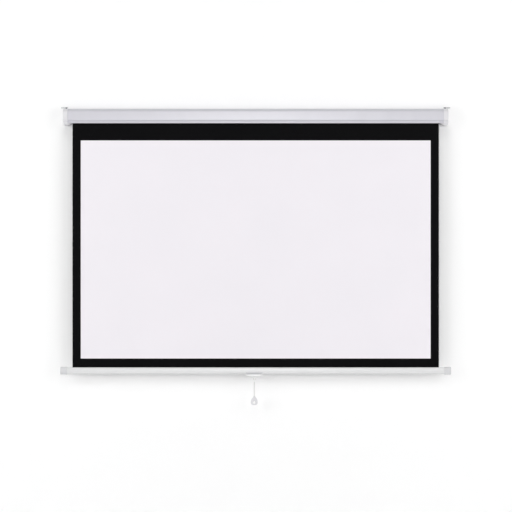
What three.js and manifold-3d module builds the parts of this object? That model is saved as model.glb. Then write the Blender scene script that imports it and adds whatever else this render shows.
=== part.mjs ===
// Retractable projection screen, pulled down by a handle and wound up by a spring roller.
// Millimetres, +Z up. The front faces -Y, the wall is behind at +Y, and X runs along the casing.
// The origin is the middle of the casing's flat back face, which lies against the wall.

import * as THREE from "three";
import { mergeVertices } from "three/addons/utils/BufferGeometryUtils.js";
import Module from "manifold-3d";

// Clearances: between pieces that touch, and how far a cutting shape runs past what it cuts.
const GAP = 0.3;
const OVERRUN = 1;

// Two points of an outline that lie nearer than this are one point.
const SAME_POINT = 0.001;

// The fabric and the picture on it.
const IMAGE_WIDTH = 1723;
const IMAGE_HEIGHT = 1077;
const SIDE_BORDER = 39;
const BOTTOM_BORDER = 40;
const LEADER_BELOW_CASING = 82.5;
const FABRIC_THICKNESS = 0.5;
const FABRIC_WIDTH = IMAGE_WIDTH + 2 * SIDE_BORDER;

// The roller tube, its spline groove, and the turns of fabric that always stay on it.
const ROLLER_RADIUS = 21;
const ROLLER_WALL = 1.5;
const ROLLER_PAST_FABRIC = 5;
const TURNS_LEFT = 3;
const TURN_PITCH = 0.6;
const SPLINE_RADIUS = 1.9;
const SPLINE_MOUTH = 1.6;
const POCKET_WALL = 1.2;
const ROLL_RADIUS = ROLLER_RADIUS + GAP + TURNS_LEFT * TURN_PITCH;
const ROLLER_HALF = FABRIC_WIDTH / 2 + ROLLER_PAST_FABRIC;

// The casing, an open extrusion whose section fits round the roll with room to wind up.
const CASING_WALL = 1.6;
const ROOM_ABOVE_ROLL = 12.9;
const ROOM_BEHIND_ROLL = 16.9;
const FABRIC_BEHIND_FACE = 12.35;
const CASING_PAST_FABRIC = 23.5;
const CHAMFER = 14;
const CASING_CORNER_RADIUS = 4;
const LIP_HEIGHT = 7;
const LIP_SETBACK = 2;
const LIP_CORNER_RADIUS = 2;
const LIP_RETURN = 3.5;
const GROOVE_DEPTH = 4.5;
const GROOVE_FLOOR = 3.5;
const GROOVE_LOWER_SLOPE = 1.5;
const GROOVE_UPPER_SLOPE = 5;
const SLOT_WIDTH = 24;
const SLOT_RETURN = 6;
const PORT_RADIUS = 4;
const PORT_BORE_RADIUS = 2;
const PORT_SUNK = 0.6;
const CASING_HALF = FABRIC_WIDTH / 2 + CASING_PAST_FABRIC;
const CASING_HEIGHT = 2 * (ROLL_RADIUS + ROOM_ABOVE_ROLL);
const AXIS_Y = -(ROLL_RADIUS + ROOM_BEHIND_ROLL);
const FABRIC_Y = AXIS_Y - ROLL_RADIUS - GAP - FABRIC_THICKNESS / 2;
const CASING_DEPTH = FABRIC_BEHIND_FACE - FABRIC_Y;
const CASING_TOP = CASING_HEIGHT / 2;
const CASING_BOTTOM = -CASING_TOP;

// The end caps, which carry on the casing's outline and hold everything inside.
const CAP_LENGTH = 22.5;
const CAP_WALL = 3;
const CAP_EDGE_RADIUS = 3;
const COLUMN_RADIUS = 5.5;
const TONGUE_LENGTH = 12;
const TONGUE_THICKNESS = 2;
const TONGUE_WIDTH = 34;
const FOOT_DROP = 10.1;
const FOOT_REACH = 15;
const FOOT_INSET = 2;
const FOOT_FRONT_INSET = 7;
const FOOT_BACK_INSET = 11;
const FOOT_OUTER_RADIUS = 9;
const FOOT_INNER_RADIUS = 10;
const FOOT_TIP = 1.8;
const CAP_OUTER = CASING_HALF + CAP_LENGTH;

// Screws: pan heads over plain shanks.
const HEAD_RADIUS = 3;
const HEAD_HEIGHT = 2.2;
const SHANK_RADIUS = 1.65;
const SCREW_SIDES = 16;
const CAP_SCREW_GRIP = 12;
const PLATE_SCREW_LENGTH = 5;

// The bearing plates inside the caps.
const PLATE_THICKNESS = 1.5;
const PLATE_WIDTH = 40;
const PLATE_HEIGHT = 48;
const PLATE_CORNER_RADIUS = 5;
const PLATE_SCREW_SPREAD = 19;
const PLATE_BOSS_HEIGHT = 4;
const PLATE_BOSS_RADIUS = 4.5;

// The spring end: fixed spindle, ratchet wheel, retaining clip, spring and its anchor.
const SPINDLE_RADIUS = 4;
const SPINDLE_INSIDE = 320;
const BLADE_HEIGHT = 7;
const BLADE_THICKNESS = 3.2;
const BLADE_TIP_ROOM = 1;
const RATCHET_RADIUS = 8.5;
const RATCHET_ROOT_RADIUS = 5.6;
const RATCHET_THICKNESS = 7;
const NOTCH_COUNT = 4;
const NOTCH_WIDTH = 5.1;
const NOTCH_OFFSET = 0.75;
const CLIP_RADIUS = 7;
const CLIP_THICKNESS = 1.2;
const CLIP_MOUTH = 5;
const CLIP_GROOVE_RADIUS = 3.2;
const ANCHOR_RADIUS = 12;
const ANCHOR_LENGTH = 14;
const SPRING_RADIUS = 9.4;
const SPRING_WIRE_RADIUS = 1.1;
const SPRING_TURNS = 36;
const SPRING_STEPS = 8;
const SPRING_SIDES = 4;

// The roller's end plugs, the pin of the idle end and its bush.
const PLUG_LENGTH = 26;
const FLANGE_THICKNESS = 4;
const IDLE_PIN_RADIUS = 4;
const IDLE_PIN_TIP_ROOM = 1;
const BUSH_RADIUS = 7;
const BUSH_FLANGE_RADIUS = 9.5;
const BUSH_FLANGE_THICKNESS = 1.5;
const BUSH_LENGTH = 5;

// The two pawls on the roller's spring end, drawn swung clear of the ratchet wheel.
const PAWL_PIVOT_ACROSS = 11;
const PAWL_PIVOT_OUT = 12.6;
const PAWL_EYE_RADIUS = 3;
const PAWL_ARM_HALF = 1.5;
const PAWL_TOOTH_WIDTH = 3.2;
const PAWL_TOOTH_CLEAR = 0.6;
const PAWL_THICKNESS = 5.6;
const PAWL_PIN_RADIUS = 1.5;
const PAWL_PIN_HEAD_RADIUS = 2.8;
const PAWL_PIN_HEAD = 1.2;
const PAWL_PIN_DEPTH = 7;

// The bottom bar: a hollow oval with a spline pocket along its top.
const BAR_HEIGHT = 33;
const BAR_DEPTH = 19;
const BAR_WALL = 1.4;
const BAR_CAP_PAST_CASING_CAP = 13.8;
const BAR_CAP_LENGTH = 34;
const BAR_CAP_WALL = 2.4;
const BAR_CAP_END = 4;
const BAR_CAP_EDGE_RADIUS = 3.5;
const WEIGHT_ROD_RADIUS = 5;
const WEIGHT_ROD_END_ROOM = 60;
const OVAL_SIDES = 32;
const OVAL_POWER = 2.5;
const BAR_TOP = CASING_BOTTOM - LEADER_BELOW_CASING - IMAGE_HEIGHT - BOTTOM_BORDER;
const BAR_CENTRE = BAR_TOP - BAR_HEIGHT / 2;
const BAR_BOTTOM = BAR_TOP - BAR_HEIGHT;
const BAR_CAP_OUTER = CAP_OUTER + BAR_CAP_PAST_CASING_CAP;
const BAR_HALF = BAR_CAP_OUTER - BAR_CAP_END - GAP;

// The handle under the bar, a little to the left of the middle.
const HANDLE_X = -7;
const SADDLE_WIDTH = 88;
const SADDLE_WALL = 2.2;
const SADDLE_WRAP = 7;
const NECK_WIDTH = 64;
const NECK_HEIGHT = 1.5;
const NECK_DEPTH = 11;
const FLANGE_WIDTH = 80;
const FLANGE_LOWER_WIDTH = 40;
const FLANGE_HEIGHT = 8;
const FLANGE_DEPTH = 17;
const FLANGE_CORNER_RADIUS = 3;
const NUB_WIDTH = 15;
const NUB_HEIGHT = 4;
const LUG_WIDTH = 3.2;
const LUG_DEPTH = 8;
const LUG_HEIGHT = 5;
const HANDLE_SCREW_SPREAD = 17;

// The ring, ferrule, cord and pull that hang under the handle.
const CORD_RING_RADIUS = 5;
const CORD_RING_WIRE = 1;
const LUG_BELOW_HOLE = 1.5;
const FERRULE_EYE_RADIUS = 2.4;
const FERRULE_EYE_WIRE = 0.9;
const FERRULE_RADIUS = 3.6;
const FERRULE_LENGTH = 8;
const FERRULE_NECK_RADIUS = 2;
const CORD_RADIUS = 2;
const CORD_SIDES = 8;
const PULL_HEIGHT = 44;
const PULL_WIDTH = 36;
const PULL_NECK_WIDTH = 10;
const PULL_NECK_LENGTH = 4;
const PULL_FLARE_LENGTH = 10;
const PULL_FLARE_INSET = 2.5;
const PULL_FLARE_RADIUS = 20;
const PULL_CORNER_RADIUS = 13;
const PULL_DEPTH = 10;
const PULL_EDGE_RADIUS = 2.5;
const PULL_HOLE_WIDTH = 18;
const PULL_HOLE_HEIGHT = 18;
const PULL_HOLE_ABOVE_END = 6;

// The hanging rings on the caps and the staples that hold them.
const RING_WIDTH = 35;
const RING_REACH = 22;
const RING_WIRE_RADIUS = 1.5;
const RING_CORNER_RADIUS = 3;
const RING_TOP_RADIUS = 8;
const RING_AXIS_ABOVE_CAP = 6.5;
const RING_TILT = THREE.MathUtils.degToRad(86);
const RING_PAST_CASING = 19;
const RING_SIDES = 8;
const STAPLE_PAST_CASING = 9.5;
const STAPLE_WIDTH = 6;
const STAPLE_THICKNESS = 1.4;
const STAPLE_FOOT = 3;
const RING_Y = -CASING_DEPTH / 2;

// The cord's route, chosen by hand from the ferrule's mouth to the pull's neck: X, Y and Z.
const CORD_ROUTE = [
  [-7, -63.65, -1308],
  [-7.05, -63.63, -1318],
  [-7.12, -63.6, -1328],
  [-7.15, -63.58, -1338],
  [-7.12, -63.6, -1348],
  [-7.06, -63.62, -1358],
  [-7.02, -63.64, -1368],
  [-7, -63.65, -1377],
];

// How finely arcs, rounded edges and round pieces are divided.
const ARC_STEPS = 6;
const DOME_STEPS = 4;
const ROUND_SIDES = 32;
const SMALL_SIDES = 16;

const wasm = await Module();
wasm.setup();

// A closed mesh as a solid that can be joined and cut.
function solidOf(geometry) {
  const bare = geometry.clone();
  bare.deleteAttribute("normal");
  bare.deleteAttribute("uv");
  const merged = mergeVertices(bare);
  const vertProperties = new Float32Array(merged.getAttribute("position").array);
  const triVerts = new Uint32Array(merged.index.array);
  return new wasm.Manifold(new wasm.Mesh({ numProp: 3, vertProperties, triVerts }));
}

// A solid back as a three.js geometry.
function geometryOf(solid) {
  const mesh = solid.getMesh();
  const geometry = new THREE.BufferGeometry();
  geometry.setAttribute("position", new THREE.BufferAttribute(mesh.vertProperties, mesh.numProp));
  geometry.setIndex(new THREE.BufferAttribute(mesh.triVerts, 1));
  return geometry;
}

// Several geometries joined into one.
function join(first, ...others) {
  return geometryOf(others.reduce((sum, other) => sum.add(solidOf(other)), solidOf(first)));
}

// One geometry with others cut out of it.
function cut(first, ...tools) {
  return geometryOf(tools.reduce((left, tool) => left.subtract(solidOf(tool)), solidOf(first)));
}

// What two geometries share.
function common(first, second) {
  return geometryOf(solidOf(first).intersect(solidOf(second)));
}

// A copy mirrored in the plane X = 0, with its faces turned round again so that they point out.
function mirrored(geometry) {
  const copy = geometry.clone();
  copy.scale(-1, 1, 1);
  if (!copy.index) copy.setIndex([...Array(copy.getAttribute("position").count).keys()]);
  const order = copy.index.array;
  for (let i = 0; i < order.length; i += 3) [order[i + 1], order[i + 2]] = [order[i + 2], order[i + 1]];
  return copy;
}

// The right-hand piece, or its mirror image on the left.
function onSide(side, geometry) {
  return side > 0 ? geometry : mirrored(geometry);
}

// An outline whose corners [a, b, radius] are rounded by arcs. An open one keeps its two ends.
function rounded(corners, open = false) {
  const points = [];
  corners.forEach(([a, b, radius], i) => {
    const isEnd = open && (i === 0 || i === corners.length - 1);
    if (!radius || isEnd) {
      points.push(new THREE.Vector2(a, b));
      return;
    }
    const corner = new THREE.Vector2(a, b);
    const before = corners[(i + corners.length - 1) % corners.length];
    const after = corners[(i + 1) % corners.length];
    const back = new THREE.Vector2(before[0], before[1]).sub(corner);
    const on = new THREE.Vector2(after[0], after[1]).sub(corner);
    const room = Math.min(back.length(), on.length()) / 2;
    back.normalize();
    on.normalize();
    const half = Math.acos(THREE.MathUtils.clamp(back.dot(on), -1, 1)) / 2;
    const tangent = Math.min(radius / Math.tan(half), room);
    const fitted = tangent * Math.tan(half);
    const centre = back.clone().add(on).normalize().multiplyScalar(fitted / Math.sin(half)).add(corner);
    const from = back.clone().multiplyScalar(tangent).add(corner).sub(centre);
    const to = on.clone().multiplyScalar(tangent).add(corner).sub(centre);
    const turn = Math.atan2(from.cross(to), from.dot(to));
    for (let k = 0; k <= ARC_STEPS; k++) {
      const turned = from.clone().rotateAround(new THREE.Vector2(), (turn * k) / ARC_STEPS);
      points.push(turned.add(centre));
    }
  });
  return points.filter((point, i) => point.distanceTo(points.at(i - 1)) > SAME_POINT);
}

// A strip of even thickness on the right-hand side of an open path.
function strip(path, thickness) {
  const inner = path.map((point, i) => {
    const before = path[Math.max(i - 1, 0)];
    const after = path[Math.min(i + 1, path.length - 1)];
    const first = i > 0 ? point.clone().sub(before).normalize() : after.clone().sub(point).normalize();
    const second = i < path.length - 1 ? after.clone().sub(point).normalize() : first;
    const firstNormal = new THREE.Vector2(first.y, -first.x);
    const secondNormal = new THREE.Vector2(second.y, -second.x);
    const normal = firstNormal.clone().add(secondNormal).normalize();
    return normal.clone().multiplyScalar(thickness / normal.dot(firstNormal)).add(point);
  });
  return [...path, ...inner.reverse()];
}

// A circle as outline points.
function circle(radius, a = 0, b = 0, sides = ROUND_SIDES) {
  return Array.from({ length: sides }, (_, i) => {
    const angle = (2 * Math.PI * i) / sides;
    return new THREE.Vector2(a + radius * Math.cos(angle), b + radius * Math.sin(angle));
  });
}

// A rectangle as outline points.
function rectangle(a0, b0, a1, b1) {
  return [[a0, b0], [a1, b0], [a1, b1], [a0, b1]].map(([a, b]) => new THREE.Vector2(a, b));
}

// An oval between an ellipse and a rectangle, centred on (0, 0): a superellipse.
function oval(halfWidth, halfHeight) {
  return Array.from({ length: OVAL_SIDES }, (_, i) => {
    const angle = (2 * Math.PI * i) / OVAL_SIDES;
    const across = Math.sign(Math.cos(angle)) * Math.abs(Math.cos(angle)) ** (2 / OVAL_POWER);
    const up = Math.sign(Math.sin(angle)) * Math.abs(Math.sin(angle)) ** (2 / OVAL_POWER);
    return new THREE.Vector2(halfWidth * across, halfHeight * up);
  });
}

// A section in Y and Z, carried along X from x0 to x1.
function alongX(outline, x0, x1) {
  const depth = x1 - x0;
  const geometry = new THREE.ExtrudeGeometry(new THREE.Shape(outline), { depth, bevelEnabled: false });
  const turn = new THREE.Matrix4().makeBasis(
    new THREE.Vector3(0, 1, 0),
    new THREE.Vector3(0, 0, 1),
    new THREE.Vector3(1, 0, 0),
  );
  return geometry.applyMatrix4(turn).translate(x0, 0, 0);
}

// A section in X and Z, carried along Y from y0 to y1.
function alongY(outline, y0, y1) {
  const depth = y1 - y0;
  const geometry = new THREE.ExtrudeGeometry(new THREE.Shape(outline), { depth, bevelEnabled: false });
  const turn = new THREE.Matrix4().makeBasis(
    new THREE.Vector3(1, 0, 0),
    new THREE.Vector3(0, 0, 1),
    new THREE.Vector3(0, -1, 0),
  );
  return geometry.applyMatrix4(turn).translate(0, y1, 0);
}

// A round bar along X, centred on y and z.
function roundX(radius, x0, x1, y, z, sides = ROUND_SIDES) {
  return alongX(circle(radius, y, z, sides), x0, x1);
}

// A round bar along Z, centred on x and y.
function roundZ(radius, z0, z1, x, y, sides = ROUND_SIDES) {
  const geometry = new THREE.CylinderGeometry(radius, radius, z1 - z0, sides);
  return geometry.rotateX(Math.PI / 2).translate(x, y, (z0 + z1) / 2);
}

// A box between two corners.
function block(x0, y0, z0, x1, y1, z1) {
  const geometry = new THREE.BoxGeometry(x1 - x0, y1 - y0, z1 - z0);
  return geometry.translate((x0 + x1) / 2, (y0 + y1) / 2, (z0 + z1) / 2);
}

// Rings of equal counts of points joined one after another, with a flat end at each side.
function skin(rings, closed = false) {
  const count = rings[0].length;
  const positions = rings.flat().flatMap((p) => [p.x, p.y, p.z]);
  const faces = [];
  const joins = closed ? rings.length : rings.length - 1;
  for (let r = 0; r < joins; r++) {
    const next = (r + 1) % rings.length;
    for (let i = 0; i < count; i++) {
      const j = (i + 1) % count;
      const [a, b, c, d] = [r * count + i, r * count + j, next * count + j, next * count + i];
      faces.push(a, b, c, a, c, d);
    }
  }
  const geometry = new THREE.BufferGeometry();
  geometry.setAttribute("position", new THREE.Float32BufferAttribute(positions, 3));
  if (closed) {
    geometry.setIndex(faces);
    return geometry;
  }
  const last = (rings.length - 1) * count;
  const flat = rings[0].map((p) => new THREE.Vector2(p.y, p.z));
  const planar = rings[0].every((p) => p.x === rings[0][0].x);
  const ends = planar
    ? THREE.ShapeUtils.triangulateShape(flat, [])
    : Array.from({ length: count - 2 }, (_, i) => [0, i + 1, i + 2]);
  ends.forEach(([a, b, c]) => faces.push(a, c, b, last + a, last + b, last + c));
  geometry.setIndex(faces);
  return geometry;
}

// An outline in Y and Z drawn out from x0 to x1, with the edge at x1, or both edges, rounded off
// towards its centre.
function domed(outline, centreY, centreZ, x0, x1, edge, both = false) {
  const reach = Math.max(...outline.map((p) => Math.abs(p.y - centreZ)));
  const ring = (x, shrink) => {
    const share = 1 - shrink / reach;
    return outline.map(
      (p) => new THREE.Vector3(x, centreY + (p.x - centreY) * share, centreZ + (p.y - centreZ) * share),
    );
  };
  const steps = [...Array(DOME_STEPS + 1).keys()];
  const angles = steps.map((k) => ((Math.PI / 2) * k) / DOME_STEPS);
  const out = angles.map((angle) => ring(x1 - edge * (1 - Math.sin(angle)), edge * (1 - Math.cos(angle))));
  const back = angles.map((angle) => ring(x0 + edge * (1 - Math.sin(angle)), edge * (1 - Math.cos(angle))));
  return skin([...(both ? back.reverse() : [ring(x0, 0)]), ...out]);
}

// A round wire that follows a flat closed loop of points whose plane faces along the normal.
function wireLoop(points, normal, radius, sides) {
  const rings = points.map((point, i) => {
    const before = points[(i + points.length - 1) % points.length];
    const after = points[(i + 1) % points.length];
    const tangent = after.clone().sub(before).normalize();
    const outward = normal.clone().cross(tangent);
    return Array.from({ length: sides }, (_, k) => {
      const angle = (2 * Math.PI * k) / sides;
      const away = outward.clone().multiplyScalar(radius * Math.cos(angle));
      return away.addScaledVector(normal, radius * Math.sin(angle)).add(point);
    });
  });
  return skin(rings, true);
}

// A pan-headed screw along X, its head seated at x and its shank running inwards.
function screwAlongX(headX, length, y, z) {
  const head = roundX(HEAD_RADIUS, headX, headX + HEAD_HEIGHT, y, z, SCREW_SIDES);
  const shank = roundX(SHANK_RADIUS, headX - length, headX + OVERRUN, y, z, SCREW_SIDES);
  return join(head, shank);
}

// The casing's outer outline in Y and Z, from the lip up over the top and down the back.
const outlineCorners = [
  [-CASING_DEPTH + LIP_SETBACK, CASING_BOTTOM, LIP_CORNER_RADIUS],
  [-CASING_DEPTH + LIP_SETBACK, CASING_BOTTOM + LIP_HEIGHT, 0],
  [-CASING_DEPTH + GROOVE_DEPTH, CASING_BOTTOM + LIP_HEIGHT + GROOVE_LOWER_SLOPE, 0],
  [-CASING_DEPTH + GROOVE_DEPTH, CASING_BOTTOM + LIP_HEIGHT + GROOVE_LOWER_SLOPE + GROOVE_FLOOR, 0],
  [
    -CASING_DEPTH,
    CASING_BOTTOM + LIP_HEIGHT + GROOVE_LOWER_SLOPE + GROOVE_FLOOR + GROOVE_UPPER_SLOPE,
    0,
  ],
  [-CASING_DEPTH, CASING_TOP - CHAMFER, 0],
  [-CASING_DEPTH + CHAMFER, CASING_TOP, 0],
  [0, CASING_TOP, CASING_CORNER_RADIUS],
  [0, CASING_BOTTOM, CASING_CORNER_RADIUS],
];
const slotFront = -CASING_DEPTH + LIP_SETBACK + LIP_RETURN;
const slotBack = slotFront + SLOT_WIDTH;

// The three screw ports, in the two back corners and behind the chamfer's middle.
const portReach = CASING_WALL + PORT_RADIUS - PORT_SUNK;
const chamferReach = CHAMFER / 2 + portReach * Math.SQRT1_2;
const ports = [
  [-portReach, CASING_TOP - portReach],
  [-portReach, CASING_BOTTOM + portReach],
  [-CASING_DEPTH + chamferReach, CASING_TOP - chamferReach],
];
const portNames = ["upper_back", "lower_back", "front"];

function casingShell() {
  const path = rounded(
    [
      [slotFront, CASING_BOTTOM, 0],
      ...outlineCorners,
      [slotBack, CASING_BOTTOM, 0],
      [slotBack, CASING_BOTTOM + SLOT_RETURN, 0],
    ],
    true,
  );
  const wall = alongX(strip(path, CASING_WALL), -CASING_HALF, CASING_HALF);
  const tubes = ports.map(([y, z]) => roundX(PORT_RADIUS, -CASING_HALF, CASING_HALF, y, z, SMALL_SIDES));
  const past = CASING_HALF + OVERRUN;
  const bores = ports.map(([y, z]) => roundX(PORT_BORE_RADIUS, -past, past, y, z, SMALL_SIDES));
  return cut(join(wall, ...tubes), ...bores);
}

// Where the bearing plate stands inside the right-hand cap.
const capPlateInner = CAP_OUTER - CAP_WALL;
const plateX1 = capPlateInner - PLATE_BOSS_HEIGHT - GAP;
const plateX0 = plateX1 - PLATE_THICKNESS;

// The foot under the right-hand cap in X and Z, with its tongue under the casing.
function capFoot() {
  const top = CASING_BOTTOM + CAP_WALL;
  const bottom = CASING_BOTTOM - FOOT_DROP;
  const outer = CAP_OUTER - FOOT_INSET;
  const tip = CASING_HALF - FOOT_REACH;
  const outline = rounded([
    [outer, top, 0],
    [outer, bottom, FOOT_OUTER_RADIUS],
    [CASING_HALF - GAP, bottom, FOOT_INNER_RADIUS],
    [tip, CASING_BOTTOM - GAP - FOOT_TIP, 0],
    [tip, CASING_BOTTOM - GAP, 0],
    [CASING_HALF + GAP, CASING_BOTTOM - GAP, 0],
    [CASING_HALF + GAP, top, 0],
  ]);
  return alongY(outline, -CASING_DEPTH + FOOT_FRONT_INSET, -FOOT_BACK_INSET);
}

// The right-hand end cap: a domed cup with screw columns, plate bosses, tongues, foot and slots.
function endCap() {
  const outline = rounded(outlineCorners).reverse();
  const middleY = -CASING_DEPTH / 2;
  const x0 = CASING_HALF + GAP;
  const shell = domed(outline, middleY, 0, x0, CAP_OUTER, CAP_EDGE_RADIUS);
  const narrowShare = 1 - CAP_WALL / (CASING_DEPTH / 2);
  const shortShare = 1 - CAP_WALL / CASING_TOP;
  const inner = outline.map(
    (p) => new THREE.Vector2(middleY + (p.x - middleY) * narrowShare, p.y * shortShare),
  );
  const hollow = alongX(inner, x0 - OVERRUN, capPlateInner);
  const columns = ports.map(([y, z]) => {
    const column = roundX(COLUMN_RADIUS, x0, CAP_OUTER - CAP_WALL / 2, y, z, SMALL_SIDES);
    return common(column, shell);
  });
  const bosses = [-1, 1].map((sign) =>
    roundX(
      PLATE_BOSS_RADIUS,
      capPlateInner - PLATE_BOSS_HEIGHT,
      CAP_OUTER - CAP_WALL / 2,
      AXIS_Y,
      sign * PLATE_SCREW_SPREAD,
      SMALL_SIDES,
    ),
  );
  const tongueIn = CASING_WALL + GAP;
  const tongueOut = tongueIn + TONGUE_THICKNESS;
  const half = TONGUE_WIDTH / 2;
  const tongueEnd = capPlateInner;
  const tongues = [
    block(CASING_HALF - TONGUE_LENGTH, -tongueOut, -half, tongueEnd, -tongueIn, half),
    block(
      CASING_HALF - TONGUE_LENGTH,
      -CASING_DEPTH + tongueIn,
      CASING_TOP - CHAMFER - TONGUE_WIDTH,
      tongueEnd,
      -CASING_DEPTH + tongueOut,
      CASING_TOP - CHAMFER - CAP_WALL,
    ),
  ];
  const holes = ports.map(([y, z]) =>
    roundX(PORT_BORE_RADIUS, x0 - OVERRUN, CAP_OUTER + OVERRUN, y, z, SMALL_SIDES),
  );
  const seats = ports.map(([y, z]) =>
    roundX(HEAD_RADIUS + GAP, CAP_OUTER - HEAD_HEIGHT, CAP_OUTER + OVERRUN, y, z, SCREW_SIDES),
  );
  const bossHoles = [-1, 1].map((sign) =>
    roundX(
      PORT_BORE_RADIUS,
      capPlateInner - PLATE_BOSS_HEIGHT - OVERRUN,
      capPlateInner - PLATE_BOSS_HEIGHT + PLATE_SCREW_LENGTH,
      AXIS_Y,
      sign * PLATE_SCREW_SPREAD,
      SMALL_SIDES,
    ),
  );
  const legSlots = [-1, 1].map((sign) => {
    const y = RING_Y + sign * (stapleHalf + STAPLE_THICKNESS / 2);
    const reach = STAPLE_THICKNESS / 2 + GAP;
    return block(
      stapleX - STAPLE_WIDTH / 2 - GAP,
      y - reach,
      CASING_TOP - CAP_WALL - OVERRUN,
      stapleX + STAPLE_WIDTH / 2 + GAP,
      y + reach,
      CASING_TOP + OVERRUN,
    );
  });
  const cup = join(cut(shell, hollow), ...columns, ...bosses, ...tongues, capFoot());
  return cut(cup, ...holes, ...seats, ...bossHoles, ...legSlots);
}

// The staple that holds the hanging ring: an arch whose legs pass through the cap's top wall.
const stapleHalf = RING_WIRE_RADIUS + GAP;
const stapleX = CASING_HALF + STAPLE_PAST_CASING;

function ringStaple() {
  const under = -CAP_WALL - GAP - STAPLE_THICKNESS;
  const crown = RING_AXIS_ABOVE_CAP + stapleHalf;
  const outer = stapleHalf + STAPLE_THICKNESS;
  const path = rounded(
    [
      [-outer - STAPLE_FOOT, under + STAPLE_THICKNESS, 0],
      [-outer, under + STAPLE_THICKNESS, 0],
      [-outer, crown + STAPLE_THICKNESS, outer],
      [outer, crown + STAPLE_THICKNESS, outer],
      [outer, under + STAPLE_THICKNESS, 0],
      [outer + STAPLE_FOOT, under + STAPLE_THICKNESS, 0],
    ],
    true,
  );
  const section = strip(path, STAPLE_THICKNESS).map((p) => new THREE.Vector2(p.x + RING_Y, p.y + CASING_TOP));
  return alongX(section, stapleX - STAPLE_WIDTH / 2, stapleX + STAPLE_WIDTH / 2);
}

// The hanging ring standing up from its hinge side, which lies along X through the origin.
function hangingRing() {
  const half = RING_WIDTH / 2 - RING_WIRE_RADIUS;
  const reach = RING_REACH - 2 * RING_WIRE_RADIUS;
  const outline = rounded([
    [-half, 0, RING_CORNER_RADIUS],
    [half, 0, RING_CORNER_RADIUS],
    [half, reach, RING_TOP_RADIUS],
    [-half, reach, RING_TOP_RADIUS],
  ]);
  const points = outline.map((p) => new THREE.Vector3(p.x, 0, p.y));
  return wireLoop(points, new THREE.Vector3(0, -1, 0), RING_WIRE_RADIUS, RING_SIDES);
}

// The pocket for a spline: its round hole and its mouth, pointing up from z by the wall's depth.
function splinePocket(y, z, reach, x) {
  const radius = SPLINE_RADIUS + GAP;
  const hole = roundX(radius, -x, x, y, z, SMALL_SIDES);
  const mouth = alongX(rectangle(y - SPLINE_MOUTH / 2, z, y + SPLINE_MOUTH / 2, z + reach), -x, x);
  return join(hole, mouth);
}

const pocketRadius = SPLINE_RADIUS + GAP + POCKET_WALL;
const rollerSplineZ = ROLLER_RADIUS - pocketRadius;

function rollerTube() {
  const ring = alongX(circle(ROLLER_RADIUS, AXIS_Y, 0), -ROLLER_HALF, ROLLER_HALF);
  const past = ROLLER_HALF + OVERRUN;
  const bore = roundX(ROLLER_RADIUS - ROLLER_WALL, -past, past, AXIS_Y, 0);
  const rib = roundX(pocketRadius, -ROLLER_HALF, ROLLER_HALF, AXIS_Y, rollerSplineZ, SMALL_SIDES);
  const pocket = splinePocket(AXIS_Y, rollerSplineZ, pocketRadius + OVERRUN, past);
  return cut(join(cut(ring, bore), rib), pocket);
}

// A roller plug on the right: a body inside the tube and a flange over the tube's end.
function rollerPlug(boreRadius) {
  const inner = ROLLER_HALF - PLUG_LENGTH;
  const flangeX = ROLLER_HALF + GAP;
  const body = roundX(ROLLER_RADIUS - ROLLER_WALL - GAP, inner, flangeX + OVERRUN, AXIS_Y, 0);
  const flange = roundX(ROLLER_RADIUS, flangeX, flangeX + FLANGE_THICKNESS, AXIS_Y, 0);
  const keyway = roundX(pocketRadius + GAP, inner - OVERRUN, flangeX, AXIS_Y, rollerSplineZ, SMALL_SIDES);
  const keywayTop = alongX(
    rectangle(
      AXIS_Y - pocketRadius - GAP,
      rollerSplineZ,
      AXIS_Y + pocketRadius + GAP,
      ROLLER_RADIUS + OVERRUN,
    ),
    inner - OVERRUN,
    flangeX,
  );
  const bore = roundX(boreRadius, inner - OVERRUN, flangeX + FLANGE_THICKNESS + OVERRUN, AXIS_Y, 0);
  return cut(join(body, flange), keyway, keywayTop, bore);
}

const flangeFace = ROLLER_HALF + GAP + FLANGE_THICKNESS;
const pawlX0 = flangeFace + 2 * GAP;
const pawlX1 = pawlX0 + PAWL_THICKNESS;
const ratchetX0 = flangeFace + GAP;
const ratchetX1 = ratchetX0 + RATCHET_THICKNESS;
const clipX0 = ratchetX1 + GAP;
const clipX1 = clipX0 + CLIP_THICKNESS;

// A point near the roller's axis, turned about it: sign 1 for the upper pawl and -1 for the lower.
function aboutAxis(sign, across, out) {
  return [AXIS_Y + sign * across, sign * out];
}

function springEndPlug() {
  const pinHoles = [1, -1].map((sign) => {
    const [y, z] = aboutAxis(sign, PAWL_PIVOT_ACROSS, PAWL_PIVOT_OUT);
    const depth = flangeFace - PAWL_PIN_DEPTH - GAP;
    return roundX(PAWL_PIN_RADIUS + GAP, depth, flangeFace + OVERRUN, y, z, SMALL_SIDES);
  });
  return cut(rollerPlug(SPINDLE_RADIUS + GAP), ...pinHoles);
}

function spindle() {
  const inner = ROLLER_HALF - SPINDLE_INSIDE;
  const shoulder = clipX1 + 2 * GAP;
  const tip = capPlateInner - BLADE_TIP_ROOM;
  const rod = roundX(SPINDLE_RADIUS, inner, shoulder, AXIS_Y, 0, SMALL_SIDES);
  const half = BLADE_THICKNESS / 2;
  const blade = block(
    shoulder - GAP,
    AXIS_Y - half,
    -BLADE_HEIGHT / 2,
    tip,
    AXIS_Y + half,
    BLADE_HEIGHT / 2,
  );
  const collar = roundX(SPINDLE_RADIUS + OVERRUN, clipX0 - GAP / 2, clipX1 + GAP / 2, AXIS_Y, 0, SMALL_SIDES);
  const waist = roundX(CLIP_GROOVE_RADIUS, clipX0 - GAP, clipX1 + GAP, AXIS_Y, 0, SMALL_SIDES);
  return join(cut(rod, cut(collar, waist)), blade);
}

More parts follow.
